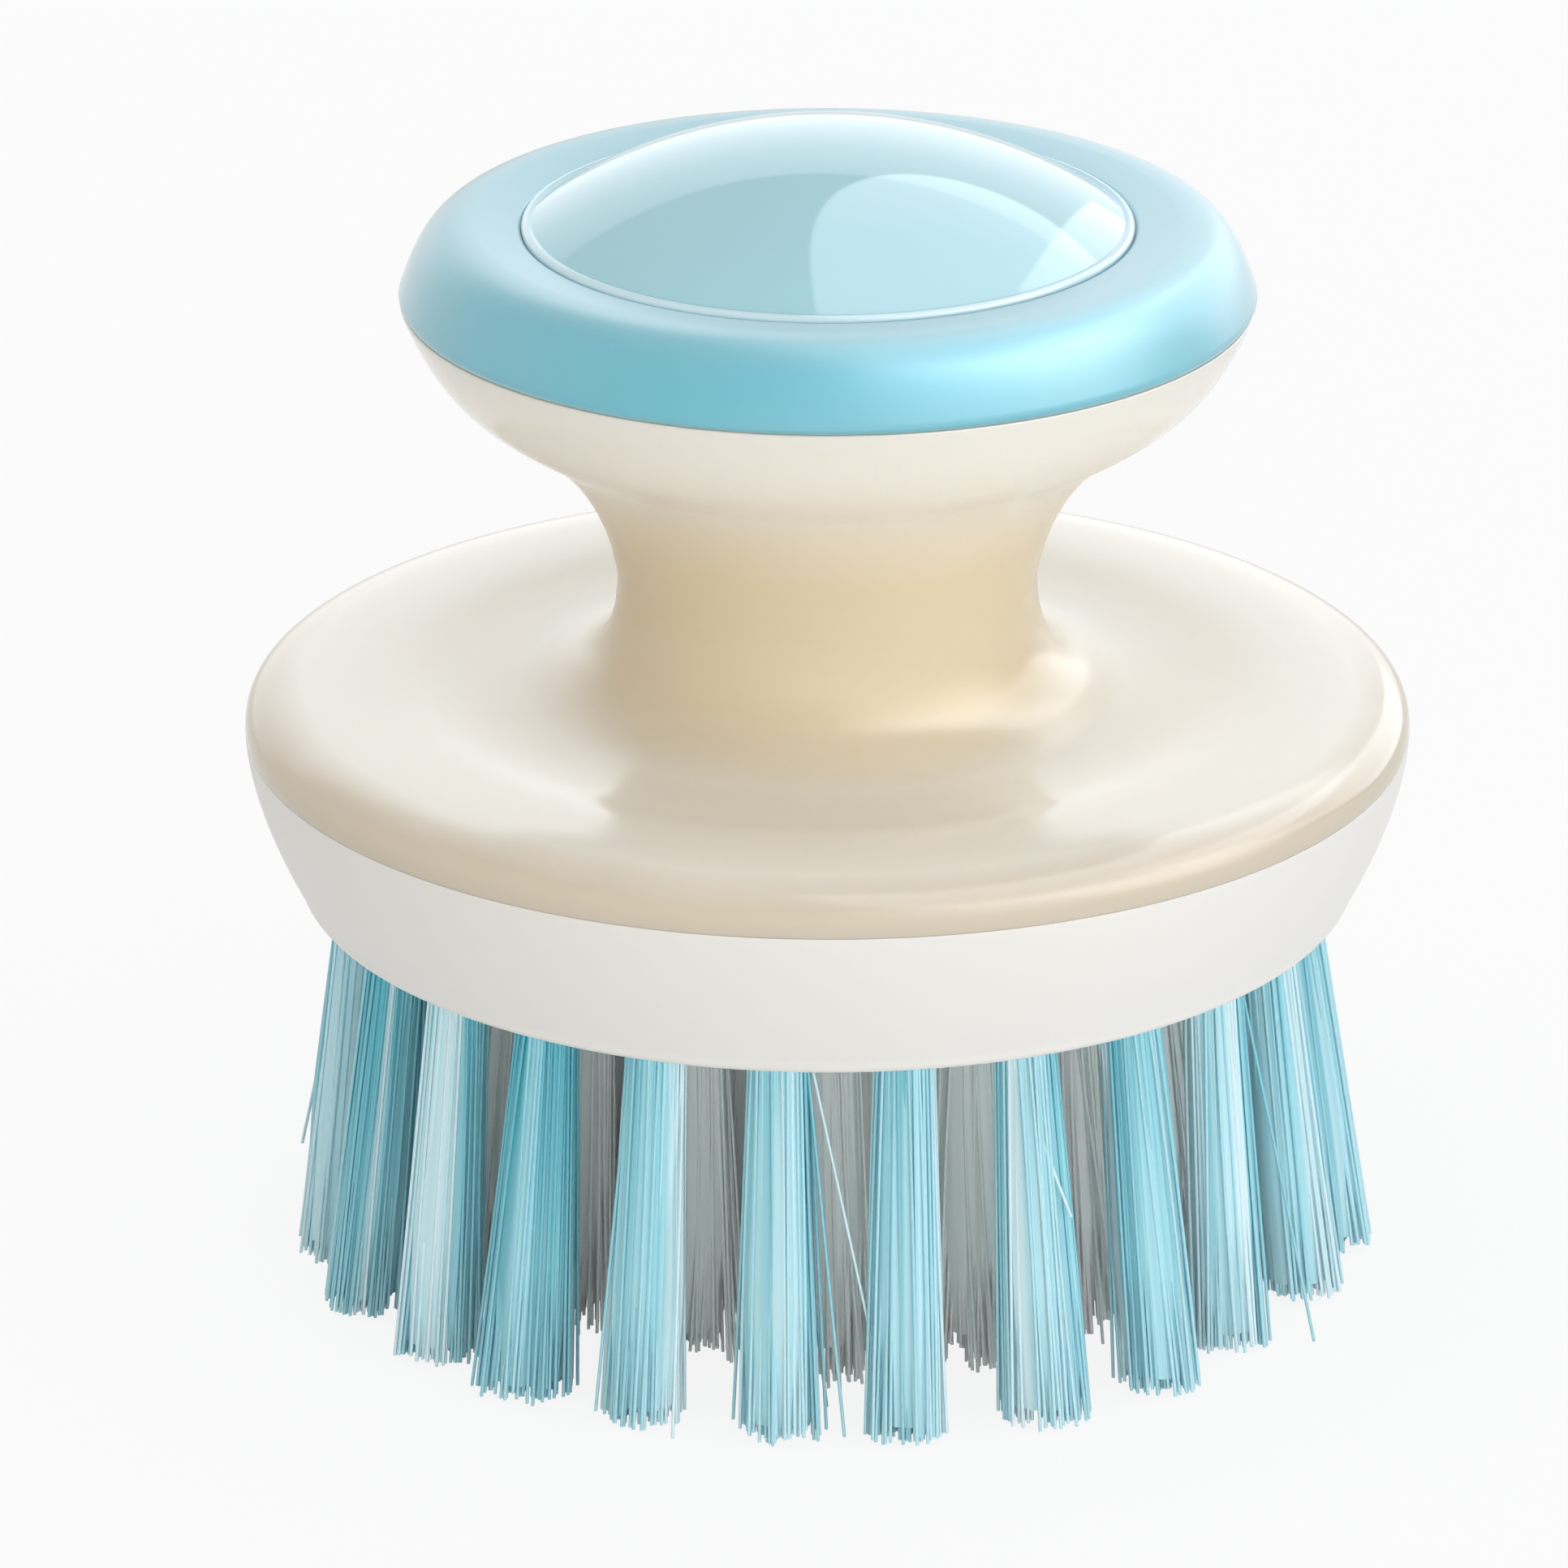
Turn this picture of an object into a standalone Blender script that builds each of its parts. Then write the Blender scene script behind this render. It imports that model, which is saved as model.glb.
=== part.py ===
"""Round palm brush for washing dishes.

A palm knob on a waisted handle carries a round block of tufted bristles. Four mouldings make the
body: the brush block, the hollow handle shell, the palm dome that snaps into the shell, and the
soft grip ring that lies on the dome's brim. Each tuft is an object of its own, a bundle of strands
on the folded root that sits in a blind hole of the block. The flat metal anchor that pins a real
tuft is closed up inside its root, and is part of that solid.

Metres, +Z up. The origin is on the brush's axis, in the plane of the bristle tips.
"""

import math

import bmesh
import bpy
from mathutils import Matrix

# Clearances
MESH_GAP = 0.0003
FIT_CLEARANCE = 0.0003
HOLE_CLEARANCE = 0.0003

# Bristles
BRISTLE_LENGTH = 0.0287
TUFT_ROOT_RADIUS = 0.0024
TUFT_TIP_RADIUS = 0.0033
TUFT_ROOT_LENGTH = 0.0060
STRAND_SLIT = 0.0003

# Rows of tufts, from the outermost in: how many, how far they lean out and where the first stands
OUTER_COUNT = 24
OUTER_LEAN_DEG = 6.5
OUTER_START_DEG = 9.0
SECOND_COUNT = 16
SECOND_LEAN_DEG = 4.0
SECOND_START_DEG = 0.0
THIRD_COUNT = 10
THIRD_LEAN_DEG = 2.0
THIRD_START_DEG = 9.0
INNER_COUNT = 4
INNER_LEAN_DEG = 0.0
INNER_START_DEG = 45.0

# Brush block
BASE_RADIUS = 0.0430
FLANK_TAPER = 0.0042
FLANK_POWER = 1.63
BLOCK_HEIGHT = 0.0120
FACE_EDGE_ROUND = 0.0009
FACE_LAND = 0.0009
INNER_LAND = 0.0044
HOLE_FLOOR = 0.0024
TRAY_WALL = 0.0025

# Handle shell
SHELL_WALL = 0.0022
SKIRT_WALL = 0.0020
RIM_RISE = 0.0035
RIM_WIDTH = 0.0085
RIM_POWER = 3.0
DISH_DEPTH = 0.0016
FOOT_WIDTH = 0.00865
WAIST_RADIUS = 0.01545
WAIST_HEIGHT = 0.0115
FLARE_REACH = 0.0073
FLARE_HEIGHT = 0.0235
FLARE_SLOPE_DEG = 33.0
FLANGE_RADIUS = 0.0312
FLANGE_HEIGHT = 0.0330
FLANGE_SLOPE_DEG = 68.0
RIM_LAND = 0.0018
LEDGE_WIDTH = 0.0026

# Fullness of the neck's curves, as a share of the height between their ends
FLANGE_PULL_RATIO = 0.74
FLARE_UPPER_PULL_RATIO = 0.40
FLARE_LOWER_PULL_RATIO = 0.68

# Palm dome
BRIM_THICKNESS = 0.0010
SNAP_WALL = 0.0016
SNAP_REACH = 0.0004
DOME_WALL = 0.0020
DOME_RISE = 0.0068

# Grip ring
RING_WIDTH = 0.0089
RING_HEIGHT = 0.0054
RING_CREST_WIDTH = 0.0057
RING_EDGE_ROUND = 0.0006
RING_LIP_DROP = 0.0003
LIP_STEP = 0.0002

# Fullness of the ring's rounded outside, as shares of its width and of its height
RING_CREST_PULL_RATIO = 0.47
RING_SIDE_PULL_RATIO = 0.91
RING_SIDE_TILT_RATIO = 0.31

# How finely the solids are cut
TURN_STEPS = 48
FLANK_STEPS = 6
RIM_STEPS = 6
DISH_STEPS = 3
FILLET_STEPS = 6
FLARE_LOWER_STEPS = 5
FLARE_UPPER_STEPS = 4
DOME_STEPS = 6
RING_STEPS = 7
EDGE_STEPS = 3
OUTER_TUFT_SIDES = 8
INNER_TUFT_SIDES = 6

# Working values
CUTTER_REACH = 0.0030
MERGE_DISTANCE = 0.00001
LEVEL_WITHIN_DEG = 2.0

# Heights of the main faces, from the bristle tips up
FACE_Z = BRISTLE_LENGTH
SEAM_Z = FACE_Z + BLOCK_HEIGHT
HOLE_DEPTH = TUFT_ROOT_LENGTH + HOLE_CLEARANCE
TRAY_FLOOR_Z = FACE_Z + HOLE_DEPTH + HOLE_FLOOR
CREST_Z = SEAM_Z + RIM_RISE
FOOT_Z = CREST_Z - DISH_DEPTH
WAIST_Z = SEAM_Z + WAIST_HEIGHT
FLARE_Z = SEAM_Z + FLARE_HEIGHT
FLANGE_Z = SEAM_Z + FLANGE_HEIGHT
LEDGE_Z = FLANGE_Z - BRIM_THICKNESS - MESH_GAP
RING_Z = FLANGE_Z + MESH_GAP
RING_TOP_Z = RING_Z + RING_HEIGHT
LIP_Z = RING_TOP_Z - RING_LIP_DROP
CROWN_Z = LIP_Z - LIP_STEP

# Radii that follow from them
FACE_RADIUS = BASE_RADIUS - FLANK_TAPER
TRAY_RADIUS = BASE_RADIUS - TRAY_WALL
SKIRT_RADIUS = TRAY_RADIUS - FIT_CLEARANCE
CREST_RADIUS = BASE_RADIUS - RIM_WIDTH
FOOT_RADIUS = WAIST_RADIUS + FOOT_WIDTH
FLARE_RADIUS = WAIST_RADIUS + FLARE_REACH
REBATE_RADIUS = FLANGE_RADIUS - RIM_LAND
SOCKET_RADIUS = REBATE_RADIUS - LEDGE_WIDTH
BRIM_RADIUS = REBATE_RADIUS - FIT_CLEARANCE
SNAP_RADIUS = SOCKET_RADIUS - FIT_CLEARANCE
RING_INNER_RADIUS = FLANGE_RADIUS - RING_WIDTH
CROWN_RADIUS = RING_INNER_RADIUS - FIT_CLEARANCE


def flat_radius(corner_radius, sides):
    """Distance from the axis to the flats of a regular prism."""
    return corner_radius * math.cos(math.pi / sides)


def hole_radius(sides):
    """Corner radius of the hole that holds a tuft root with the named clearance."""
    flat = flat_radius(TUFT_ROOT_RADIUS, sides) + HOLE_CLEARANCE
    return flat / math.cos(math.pi / sides)


# Where the rows stand: the outer one by the face's edge, the inner one round the centre
OUTER_ROW_RADIUS = FACE_RADIUS - FACE_EDGE_ROUND - FACE_LAND - hole_radius(OUTER_TUFT_SIDES)
INNER_ROW_RADIUS = (2 * hole_radius(INNER_TUFT_SIDES) + INNER_LAND) / math.sqrt(2)
ROW_PITCH = (OUTER_ROW_RADIUS - INNER_ROW_RADIUS) / 3
SECOND_ROW_RADIUS = OUTER_ROW_RADIUS - ROW_PITCH
THIRD_ROW_RADIUS = INNER_ROW_RADIUS + ROW_PITCH

# Rows of tufts: name, colour, count, root radius, lean, sides and first angle
ROWS = (
    ("outer_tuft", "blue", OUTER_COUNT, OUTER_ROW_RADIUS, OUTER_LEAN_DEG,
     OUTER_TUFT_SIDES, OUTER_START_DEG),
    ("second_tuft", "cream", SECOND_COUNT, SECOND_ROW_RADIUS, SECOND_LEAN_DEG,
     INNER_TUFT_SIDES, SECOND_START_DEG),
    ("third_tuft", "cream", THIRD_COUNT, THIRD_ROW_RADIUS, THIRD_LEAN_DEG,
     INNER_TUFT_SIDES, THIRD_START_DEG),
    ("inner_tuft", "cream", INNER_COUNT, INNER_ROW_RADIUS, INNER_LEAN_DEG,
     INNER_TUFT_SIDES, INNER_START_DEG),
)


def clear_scene():
    """Remove whatever the scene holds."""
    for item in list(bpy.data.objects):
        bpy.data.objects.remove(item, do_unlink=True)


def new_collection(name):
    """Make a collection and link it to the scene."""
    collection = bpy.data.collections.new(name)
    bpy.context.scene.collection.children.link(collection)
    return collection


def finish(name, colour, roughness, metallic=0.0):
    """Make a material with one colour, roughness and metallic value."""
    material = bpy.data.materials.new(name)
    material.use_nodes = True
    shader = material.node_tree.nodes["Principled BSDF"]
    shader.inputs["Base Color"].default_value = (*colour, 1.0)
    shader.inputs["Roughness"].default_value = roughness
    shader.inputs["Metallic"].default_value = metallic
    return material


def add_object(name, mesh, collection, material=None):
    """Link a mesh as a named object."""
    item = bpy.data.objects.new(name, mesh)
    collection.objects.link(item)
    if material is not None and not mesh.materials:
        mesh.materials.append(material)
    return item


def hide_cutter(item):
    """Keep a cutting shape out of the model."""
    item.hide_render = True
    item.display_type = "WIRE"


def baked_mesh(item):
    """Copy an object's mesh with its modifiers applied, then remove the object."""
    graph = bpy.context.evaluated_depsgraph_get()
    mesh = bpy.data.meshes.new_from_object(item.evaluated_get(graph))
    bpy.data.objects.remove(item, do_unlink=True)
    return mesh


def bezier(start, leave, arrive, end, steps):
    """Points of a cubic curve in the profile plane, without its first point."""
    points = []
    for step in range(1, steps + 1):
        t = step / steps
        weights = ((1 - t) ** 3, 3 * t * (1 - t) ** 2, 3 * t * t * (1 - t), t ** 3)
        corners = (start, leave, arrive, end)
        points.append(tuple(sum(w * c[axis] for w, c in zip(weights, corners)) for axis in (0, 1)))
    return points


def arc(centre, radii, start_deg, end_deg, steps):
    """Points of an elliptic arc in the profile plane, both ends included."""
    points = []
    for step in range(steps + 1):
        angle = math.radians(start_deg + (end_deg - start_deg) * step / steps)
        points.append((centre[0] + radii[0] * math.cos(angle), centre[1] + radii[1] * math.sin(angle)))
    return points


def offset_path(points, distance):
    """Shift an open path to its left by a distance, along the mean normal of each point."""
    shifted = []
    for index, point in enumerate(points):
        before = points[max(index - 1, 0)]
        after = points[min(index + 1, len(points) - 1)]
        along = (after[0] - before[0], after[1] - before[1])
        length = math.hypot(*along)
        shifted.append((point[0] - along[1] / length * distance, point[1] + along[0] / length * distance))
    return shifted


def turned_object(name, profile, collection, material, closed):
    """Turn a profile round the Z axis with a Screw modifier."""
    mesh = bpy.data.meshes.new(name)
    count = len(profile)
    edges = [(index, index + 1) for index in range(count - 1)]
    if closed:
        edges.append((count - 1, 0))
    mesh.from_pydata([(radius, 0.0, height) for radius, height in profile], edges, [])
    item = add_object(name, mesh, collection, material)
    screw = item.modifiers.new("turn", "SCREW")
    screw.axis = "Z"
    screw.angle = math.tau
    screw.steps = TURN_STEPS
    screw.render_steps = TURN_STEPS
    screw.use_merge_vertices = True
    screw.merge_threshold = MERGE_DISTANCE
    screw.use_smooth_shade = True
    return item


def flank_profile():
    """The block's bowed flank, from the seam down to the rounded edge of its tuft face."""
    points = []
    low = FACE_EDGE_ROUND / BLOCK_HEIGHT
    for step in range(FLANK_STEPS + 1):
        rise = 1 - (1 - low) * step / FLANK_STEPS
        radius = BASE_RADIUS - FLANK_TAPER * (1 - rise) ** FLANK_POWER
        points.append((radius, FACE_Z + BLOCK_HEIGHT * rise))
    edge_radius = points[-1][0]
    centre = (edge_radius - FACE_EDGE_ROUND, FACE_Z + FACE_EDGE_ROUND)
    points += arc(centre, (FACE_EDGE_ROUND, FACE_EDGE_ROUND), 0, -90, EDGE_STEPS)[1:]
    return points


def block_profile():
    """Outline of the brush block, a tray with a thick floor, down its outside to the tuft face."""
    flank = flank_profile()
    wall_top = SEAM_Z - MESH_GAP / 2
    flank[0] = (flank[0][0], wall_top)
    tray = [(0.0, TRAY_FLOOR_Z), (TRAY_RADIUS, TRAY_FLOOR_Z), (TRAY_RADIUS, wall_top)]
    return tray + flank + [(0.0, FACE_Z)]


def level_faces(bm, facing):
    """The level faces that look up, where facing is 1, or down, where it is -1."""
    least = math.cos(math.radians(LEVEL_WITHIN_DEG))
    return [face for face in bm.faces if face.normal.z * facing > least]


def prism(bm, sides, radius, low, high):
    """Add an upright prism with a flat facing +Y and -Y."""
    turn = Matrix.Rotation(math.pi / 2 - math.pi / sides, 4, "Z")
    lift = Matrix.Translation((0.0, 0.0, (low + high) / 2))
    return bmesh.ops.create_cone(
        bm, cap_ends=True, cap_tris=True, segments=sides, radius1=radius, radius2=radius,
        depth=high - low, matrix=lift @ turn)


def lean_matrix(lean_deg):
    """Shear that carries what hangs below the tuft face outwards, along +X."""
    shear = Matrix.Identity(4)
    shear[0][2] = -math.tan(math.radians(lean_deg))
    return shear


def row_places(count, radius, start_deg):
    """Matrices of a row's tufts, each with its own +X pointing away from the axis."""
    for index in range(count):
        turn = Matrix.Rotation(math.radians(start_deg - 90.0 + 360.0 * index / count), 4, "Z")
        yield turn @ Matrix.Translation((radius, 0.0, FACE_Z))


def tuft_holes(collection):
    """All the blind holes of the tuft face, as one cutting shape."""
    bm = bmesh.new()
    for _, _, count, radius, lean_deg, sides, start_deg in ROWS:
        for place in row_places(count, radius, start_deg):
            made = prism(bm, sides, hole_radius(sides), -CUTTER_REACH, HOLE_DEPTH)
            bmesh.ops.transform(bm, matrix=place @ lean_matrix(lean_deg), verts=made["verts"])
    mesh = bpy.data.meshes.new("tuft_holes")
    bm.to_mesh(mesh)
    bm.free()
    item = add_object("tuft_holes", mesh, collection)
    hide_cutter(item)
    return item


def build_block(collection, cutters, material):
    """The white block: a turned tray whose underside holds the tufts."""
    mesh = baked_mesh(turned_object("brush_block_blank", block_profile(), collection, material, False))
    bm = bmesh.new()
    bm.from_mesh(mesh)
    for facing in (-1, 1):
        fan = [face for face in level_faces(bm, facing)
               if face.calc_center_median().xy.length < TRAY_RADIUS]
        bmesh.ops.dissolve_faces(bm, faces=fan, use_verts=True)
    bm.to_mesh(mesh)
    bm.free()
    item = add_object("brush_block", mesh, collection)
    cut = item.modifiers.new("tuft_holes", "BOOLEAN")
    cut.operation = "DIFFERENCE"
    cut.object = tuft_holes(cutters)


def along_slope(point, slope_deg, length):
    """The point a length up a slope from another, in the profile plane."""
    slope = math.radians(slope_deg)
    return (point[0] + length * math.cos(slope), point[1] + length * math.sin(slope))


def outer_shell_path():
    """The shell's outside from the flange down to the crest of the base disc."""
    flange = (FLANGE_RADIUS, FLANGE_Z)
    flare = (FLARE_RADIUS, FLARE_Z)
    waist = (WAIST_RADIUS, WAIST_Z)
    foot = (FOOT_RADIUS, FOOT_Z)
    crest = (CREST_RADIUS, CREST_Z)
    upper = FLANGE_Z - FLARE_Z
    lower = FLARE_Z - WAIST_Z
    leave = along_slope(flange, FLANGE_SLOPE_DEG, -FLANGE_PULL_RATIO * upper)
    arrive = along_slope(flare, FLARE_SLOPE_DEG, FLARE_UPPER_PULL_RATIO * upper)
    path = [flange] + bezier(flange, leave, arrive, flare, FLARE_UPPER_STEPS)
    leave = along_slope(flare, FLARE_SLOPE_DEG, -FLARE_LOWER_PULL_RATIO * lower)
    path += bezier(flare, leave, waist, waist, FLARE_LOWER_STEPS)
    path += arc((FOOT_RADIUS, WAIST_Z), (FOOT_WIDTH, WAIST_Z - FOOT_Z), 180, 270, FILLET_STEPS)[1:]
    dish_radius = (FOOT_RADIUS + CREST_RADIUS) / 2
    path += bezier(foot, (dish_radius, FOOT_Z), (dish_radius, CREST_Z), crest, DISH_STEPS)
    return path


def rim_path():
    """The rounded rim of the base disc, from its crest out and down to the seam."""
    points = []
    for step in range(1, RIM_STEPS):
        turn = math.pi / 2 * step / RIM_STEPS
        out = math.sin(turn) ** (2 / RIM_POWER)
        drop = math.cos(turn) ** (2 / RIM_POWER)
        points.append((CREST_RADIUS + RIM_WIDTH * out, SEAM_Z + RIM_RISE * drop))
    return points + [(BASE_RADIUS, SEAM_Z + MESH_GAP / 2)]


def socket_floor(inner):
    """Height at which the shell's inner wall, listed from the top down, reaches the socket's radius."""
    for above, below in zip(inner, inner[1:]):
        if above[0] >= SOCKET_RADIUS > below[0]:
            share = (above[0] - SOCKET_RADIUS) / (above[0] - below[0])
            return above[1] + (below[1] - above[1]) * share
    return inner[0][1]


def snap_ridge(radius, height):
    """Three points of a ridge that runs round a wall of the given radius, from the top down."""
    return [(radius, height + SNAP_REACH), (radius + SNAP_REACH, height), (radius, height - SNAP_REACH)]


def shell_sections():
    """Outer path, inner path and socket floor of the handle shell.

    The inside keeps every second point of the offset path, since it is never seen.
    """
    outer = outer_shell_path()
    inner = offset_path(outer, -SHELL_WALL)
    floor_z = socket_floor(inner)
    below_socket = [point for point in inner if point[0] < SOCKET_RADIUS or point[1] < FOOT_Z]
    return outer, below_socket[1::2], floor_z


def snap_height():
    """Height of the snap ridge, half way down the socket."""
    return (LEDGE_Z + shell_sections()[2]) / 2


def shell_profile():
    """Closed outline of the handle shell, down its outside and up its inside."""
    outer, inner, floor_z = shell_sections()
    skirt_low = TRAY_FLOOR_Z + MESH_GAP
    ceiling_z = CREST_Z - SHELL_WALL
    skirt = [
        (SKIRT_RADIUS, SEAM_Z + MESH_GAP / 2),
        (SKIRT_RADIUS, skirt_low),
        (SKIRT_RADIUS - SKIRT_WALL, skirt_low),
        (SKIRT_RADIUS - SKIRT_WALL, ceiling_z),
        (CREST_RADIUS, ceiling_z),
    ]
    groove = snap_ridge(SOCKET_RADIUS, snap_height())
    socket = [(SOCKET_RADIUS, floor_z)] + groove[::-1]
    rebate = [(SOCKET_RADIUS, LEDGE_Z), (REBATE_RADIUS, LEDGE_Z), (REBATE_RADIUS, FLANGE_Z)]
    return outer + rim_path() + skirt + inner[::-1] + socket + rebate


def dome_profile():
    """Outline of the palm dome: dome, crown wall, brim and snap skirt."""
    ball = (CROWN_RADIUS ** 2 + DOME_RISE ** 2) / (2 * DOME_RISE)
    centre = (0.0, CROWN_Z + DOME_RISE - ball)
    rim_deg = math.degrees(math.acos(CROWN_RADIUS / ball))
    inner_ball = ball - DOME_WALL
    inner_radius = CROWN_RADIUS - DOME_WALL
    inner_deg = math.degrees(math.acos(inner_radius / inner_ball))
    brim_low = FLANGE_Z - BRIM_THICKNESS
    skirt_low = shell_sections()[2] + MESH_GAP
    outside = arc(centre, (ball, ball), 90, rim_deg, DOME_STEPS)
    outside[0] = (0.0, outside[0][1])
    brim = [
        (CROWN_RADIUS, FLANGE_Z),
        (BRIM_RADIUS, FLANGE_Z),
        (BRIM_RADIUS, brim_low),
        (SNAP_RADIUS, brim_low),
    ]
    skirt = [
        (SNAP_RADIUS, skirt_low),
        (SNAP_RADIUS - SNAP_WALL, skirt_low),
        (SNAP_RADIUS - SNAP_WALL, brim_low),
    ]
    ridge = snap_ridge(SNAP_RADIUS, snap_height())
    inside = [(inner_radius, brim_low)] + arc(centre, (inner_ball, inner_ball), inner_deg, 90, DOME_STEPS - 1)
    inside[-1] = (0.0, inside[-1][1])
    return outside + brim + ridge + skirt + inside


def ring_profile():
    """Closed outline of the grip ring, down its outside and up its inside."""
    edge = RING_EDGE_ROUND
    crest = (FLANGE_RADIUS - RING_CREST_WIDTH, RING_TOP_Z)
    shoulder = (FLANGE_RADIUS, RING_Z + edge)
    rise = RING_TOP_Z - shoulder[1]
    leave = (crest[0] + RING_CREST_PULL_RATIO * RING_CREST_WIDTH, crest[1])
    arrive = (shoulder[0] - RING_SIDE_TILT_RATIO * rise, shoulder[1] + RING_SIDE_PULL_RATIO * rise)
    outside = [crest] + bezier(crest, leave, arrive, shoulder, RING_STEPS)
    edge_low = arc((FLANGE_RADIUS - edge, shoulder[1]), (edge, edge), 0, -90, EDGE_STEPS)[1:]
    lip = arc((RING_INNER_RADIUS + edge, LIP_Z - edge), (edge, edge), 180, 90, EDGE_STEPS)
    return outside + edge_low + [(RING_INNER_RADIUS, RING_Z)] + lip


def tuft_mesh(name, sides, lean_deg, material):
    """One tuft: a folded root and a flared strand below each of its sides.

    The strands are cut flat where the brush stands.
    """
    bm = bmesh.new()
    prism(bm, sides, TUFT_ROOT_RADIUS, 0.0, TUFT_ROOT_LENGTH)
    bm.normal_update()
    wedges = level_faces(bm, -1)
    bmesh.ops.inset_individual(bm, faces=wedges, thickness=STRAND_SLIT / 2, use_even_offset=True)
    ends = bmesh.ops.extrude_discrete_faces(bm, faces=wedges)["faces"]
    flare = TUFT_TIP_RADIUS / TUFT_ROOT_RADIUS
    for vert in {vert for face in ends for vert in face.verts}:
        vert.co = (vert.co.x * flare, vert.co.y * flare, -BRISTLE_LENGTH)
    mesh = bpy.data.meshes.new(name)
    bm.to_mesh(mesh)
    bm.free()
    mesh.transform(lean_matrix(lean_deg))
    mesh.materials.append(material)
    return mesh


def build_tufts(collection, materials):
    """Every tuft of every row, each an object of its own."""
    for name, colour, count, radius, lean_deg, sides, start_deg in ROWS:
        mesh = tuft_mesh(name, sides, lean_deg, materials[colour])
        for index, place in enumerate(row_places(count, radius, start_deg)):
            item = add_object(f"{name}_{index + 1:02d}", mesh, collection)
            item.matrix_world = place


def build_brush():
    """Model the whole brush."""
    clear_scene()
    parts = new_collection("dish_brush")
    cutters = new_collection("cutters")
    cream = finish("cream_plastic", (0.86, 0.80, 0.69), 0.18)
    white = finish("white_plastic", (0.84, 0.83, 0.80), 0.38)
    dome_blue = finish("glossy_blue_plastic", (0.42, 0.74, 0.80), 0.12)
    grip_blue = finish("soft_blue_grip", (0.36, 0.68, 0.76), 0.42)
    bristles = {
        "blue": finish("blue_bristle", (0.30, 0.64, 0.70), 0.35),
        "cream": finish("cream_bristle", (0.78, 0.80, 0.74), 0.35),
    }
    build_block(parts, cutters, white)
    turned_object("handle_shell", shell_profile(), parts, cream, True)
    turned_object("palm_dome", dome_profile(), parts, dome_blue, False)
    turned_object("grip_ring", ring_profile(), parts, grip_blue, True)
    build_tufts(parts, bristles)


build_brush()
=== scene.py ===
"""The looks of a round palm brush for washing dishes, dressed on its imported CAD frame.

Four turned mouldings make the body: a white brush block, a cream handle shell, a glossy blue palm
dome and a satin blue grip ring. Fifty-four tufts of nylon strands stand in the block's holes.
Sizes are in metres, +Z up, in the frame's own axes. The brush's front faces -Y.
"""

import logging
import math
import random
from collections.abc import Iterable
from dataclasses import dataclass, field
from enum import Enum

import bmesh
import bpy
from mathutils import Matrix, Quaternion, Vector


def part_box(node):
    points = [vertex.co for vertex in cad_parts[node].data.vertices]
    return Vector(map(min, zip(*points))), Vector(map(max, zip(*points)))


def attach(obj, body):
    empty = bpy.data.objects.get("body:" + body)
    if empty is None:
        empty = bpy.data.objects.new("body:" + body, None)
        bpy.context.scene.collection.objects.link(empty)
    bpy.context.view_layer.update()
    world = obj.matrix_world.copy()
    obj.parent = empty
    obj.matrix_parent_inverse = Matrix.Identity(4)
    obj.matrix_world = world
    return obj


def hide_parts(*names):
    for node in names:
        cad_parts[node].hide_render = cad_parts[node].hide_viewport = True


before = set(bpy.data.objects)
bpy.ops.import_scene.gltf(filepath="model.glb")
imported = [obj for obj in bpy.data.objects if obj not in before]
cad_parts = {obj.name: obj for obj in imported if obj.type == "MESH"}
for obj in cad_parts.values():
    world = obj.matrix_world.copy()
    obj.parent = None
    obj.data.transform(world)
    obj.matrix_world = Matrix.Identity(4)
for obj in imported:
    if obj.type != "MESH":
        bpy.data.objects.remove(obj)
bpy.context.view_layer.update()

LOG = logging.getLogger("dish_brush")
BODY = "root"

# The CAD keeps this gap between mouldings that touch
CAD_GAP = 0.0003
# Points this close are one point, on one corner or at one level
MERGE_DISTANCE = 0.000001
CORNER_WITHIN = 0.000005
LEVEL_WITHIN = 0.0001
# A plastic's colour bands reach this far from the axis
BAND_SPAN = 0.05

Point = tuple[float, float]
Place = tuple[float, float, float]
Colour = tuple[float, float, float]
Feed = "Value | float | tuple"

WHITE: Colour = (1.0, 1.0, 1.0)


class Slot(Enum):
    """Names of the material slots."""

    BLOCK = "white_block"
    SHELL = "cream_shell"
    DOME = "blue_dome"
    GRIP = "blue_grip"
    BLUE_BRISTLE = "blue_bristle"
    CREAM_BRISTLE = "cream_bristle"


def srgb(red: int, green: int, blue: int) -> Colour:
    """Turn a colour as a screen shows it, 0 to 255, into the linear one that a shader uses."""
    return tuple(((level / 255 + 0.055) / 1.055) ** 2.4 for level in (red, green, blue))


class Value:
    """A shader socket that takes part in Python expressions."""

    def __init__(self, recipe: "Recipe", socket: bpy.types.NodeSocket) -> None:
        """Keep the socket and the recipe that its nodes go into."""
        self.recipe = recipe
        self.socket = socket

    def _join(self, operation: str, first: Feed, second: Feed) -> "Value":
        """Join two values by a Math node, or by a Vector Math node where this one is a vector."""
        kind = "ShaderNodeVectorMath" if self.socket.type == "VECTOR" else "ShaderNodeMath"
        return self.recipe.node(kind, {"operation": operation}, {0: first, 1: second})

    def __add__(self, other: Feed) -> "Value":
        """Add another value or number."""
        return self._join("ADD", self, other)

    def __radd__(self, other: Feed) -> "Value":
        """Add this value to a number."""
        return self._join("ADD", other, self)

    def __sub__(self, other: Feed) -> "Value":
        """Take another value or number away."""
        return self._join("SUBTRACT", self, other)

    def __rsub__(self, other: Feed) -> "Value":
        """Take this value away from a number."""
        return self._join("SUBTRACT", other, self)

    def __mul__(self, other: Feed) -> "Value":
        """Multiply by another value or number."""
        return self._join("MULTIPLY", self, other)

    def __rmul__(self, other: Feed) -> "Value":
        """Multiply a number by this value."""
        return self._join("MULTIPLY", other, self)

    def above(self, other: Feed) -> "Value":
        """Keep the greater of this value and another."""
        return self._join("MAXIMUM", self, other)


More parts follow.
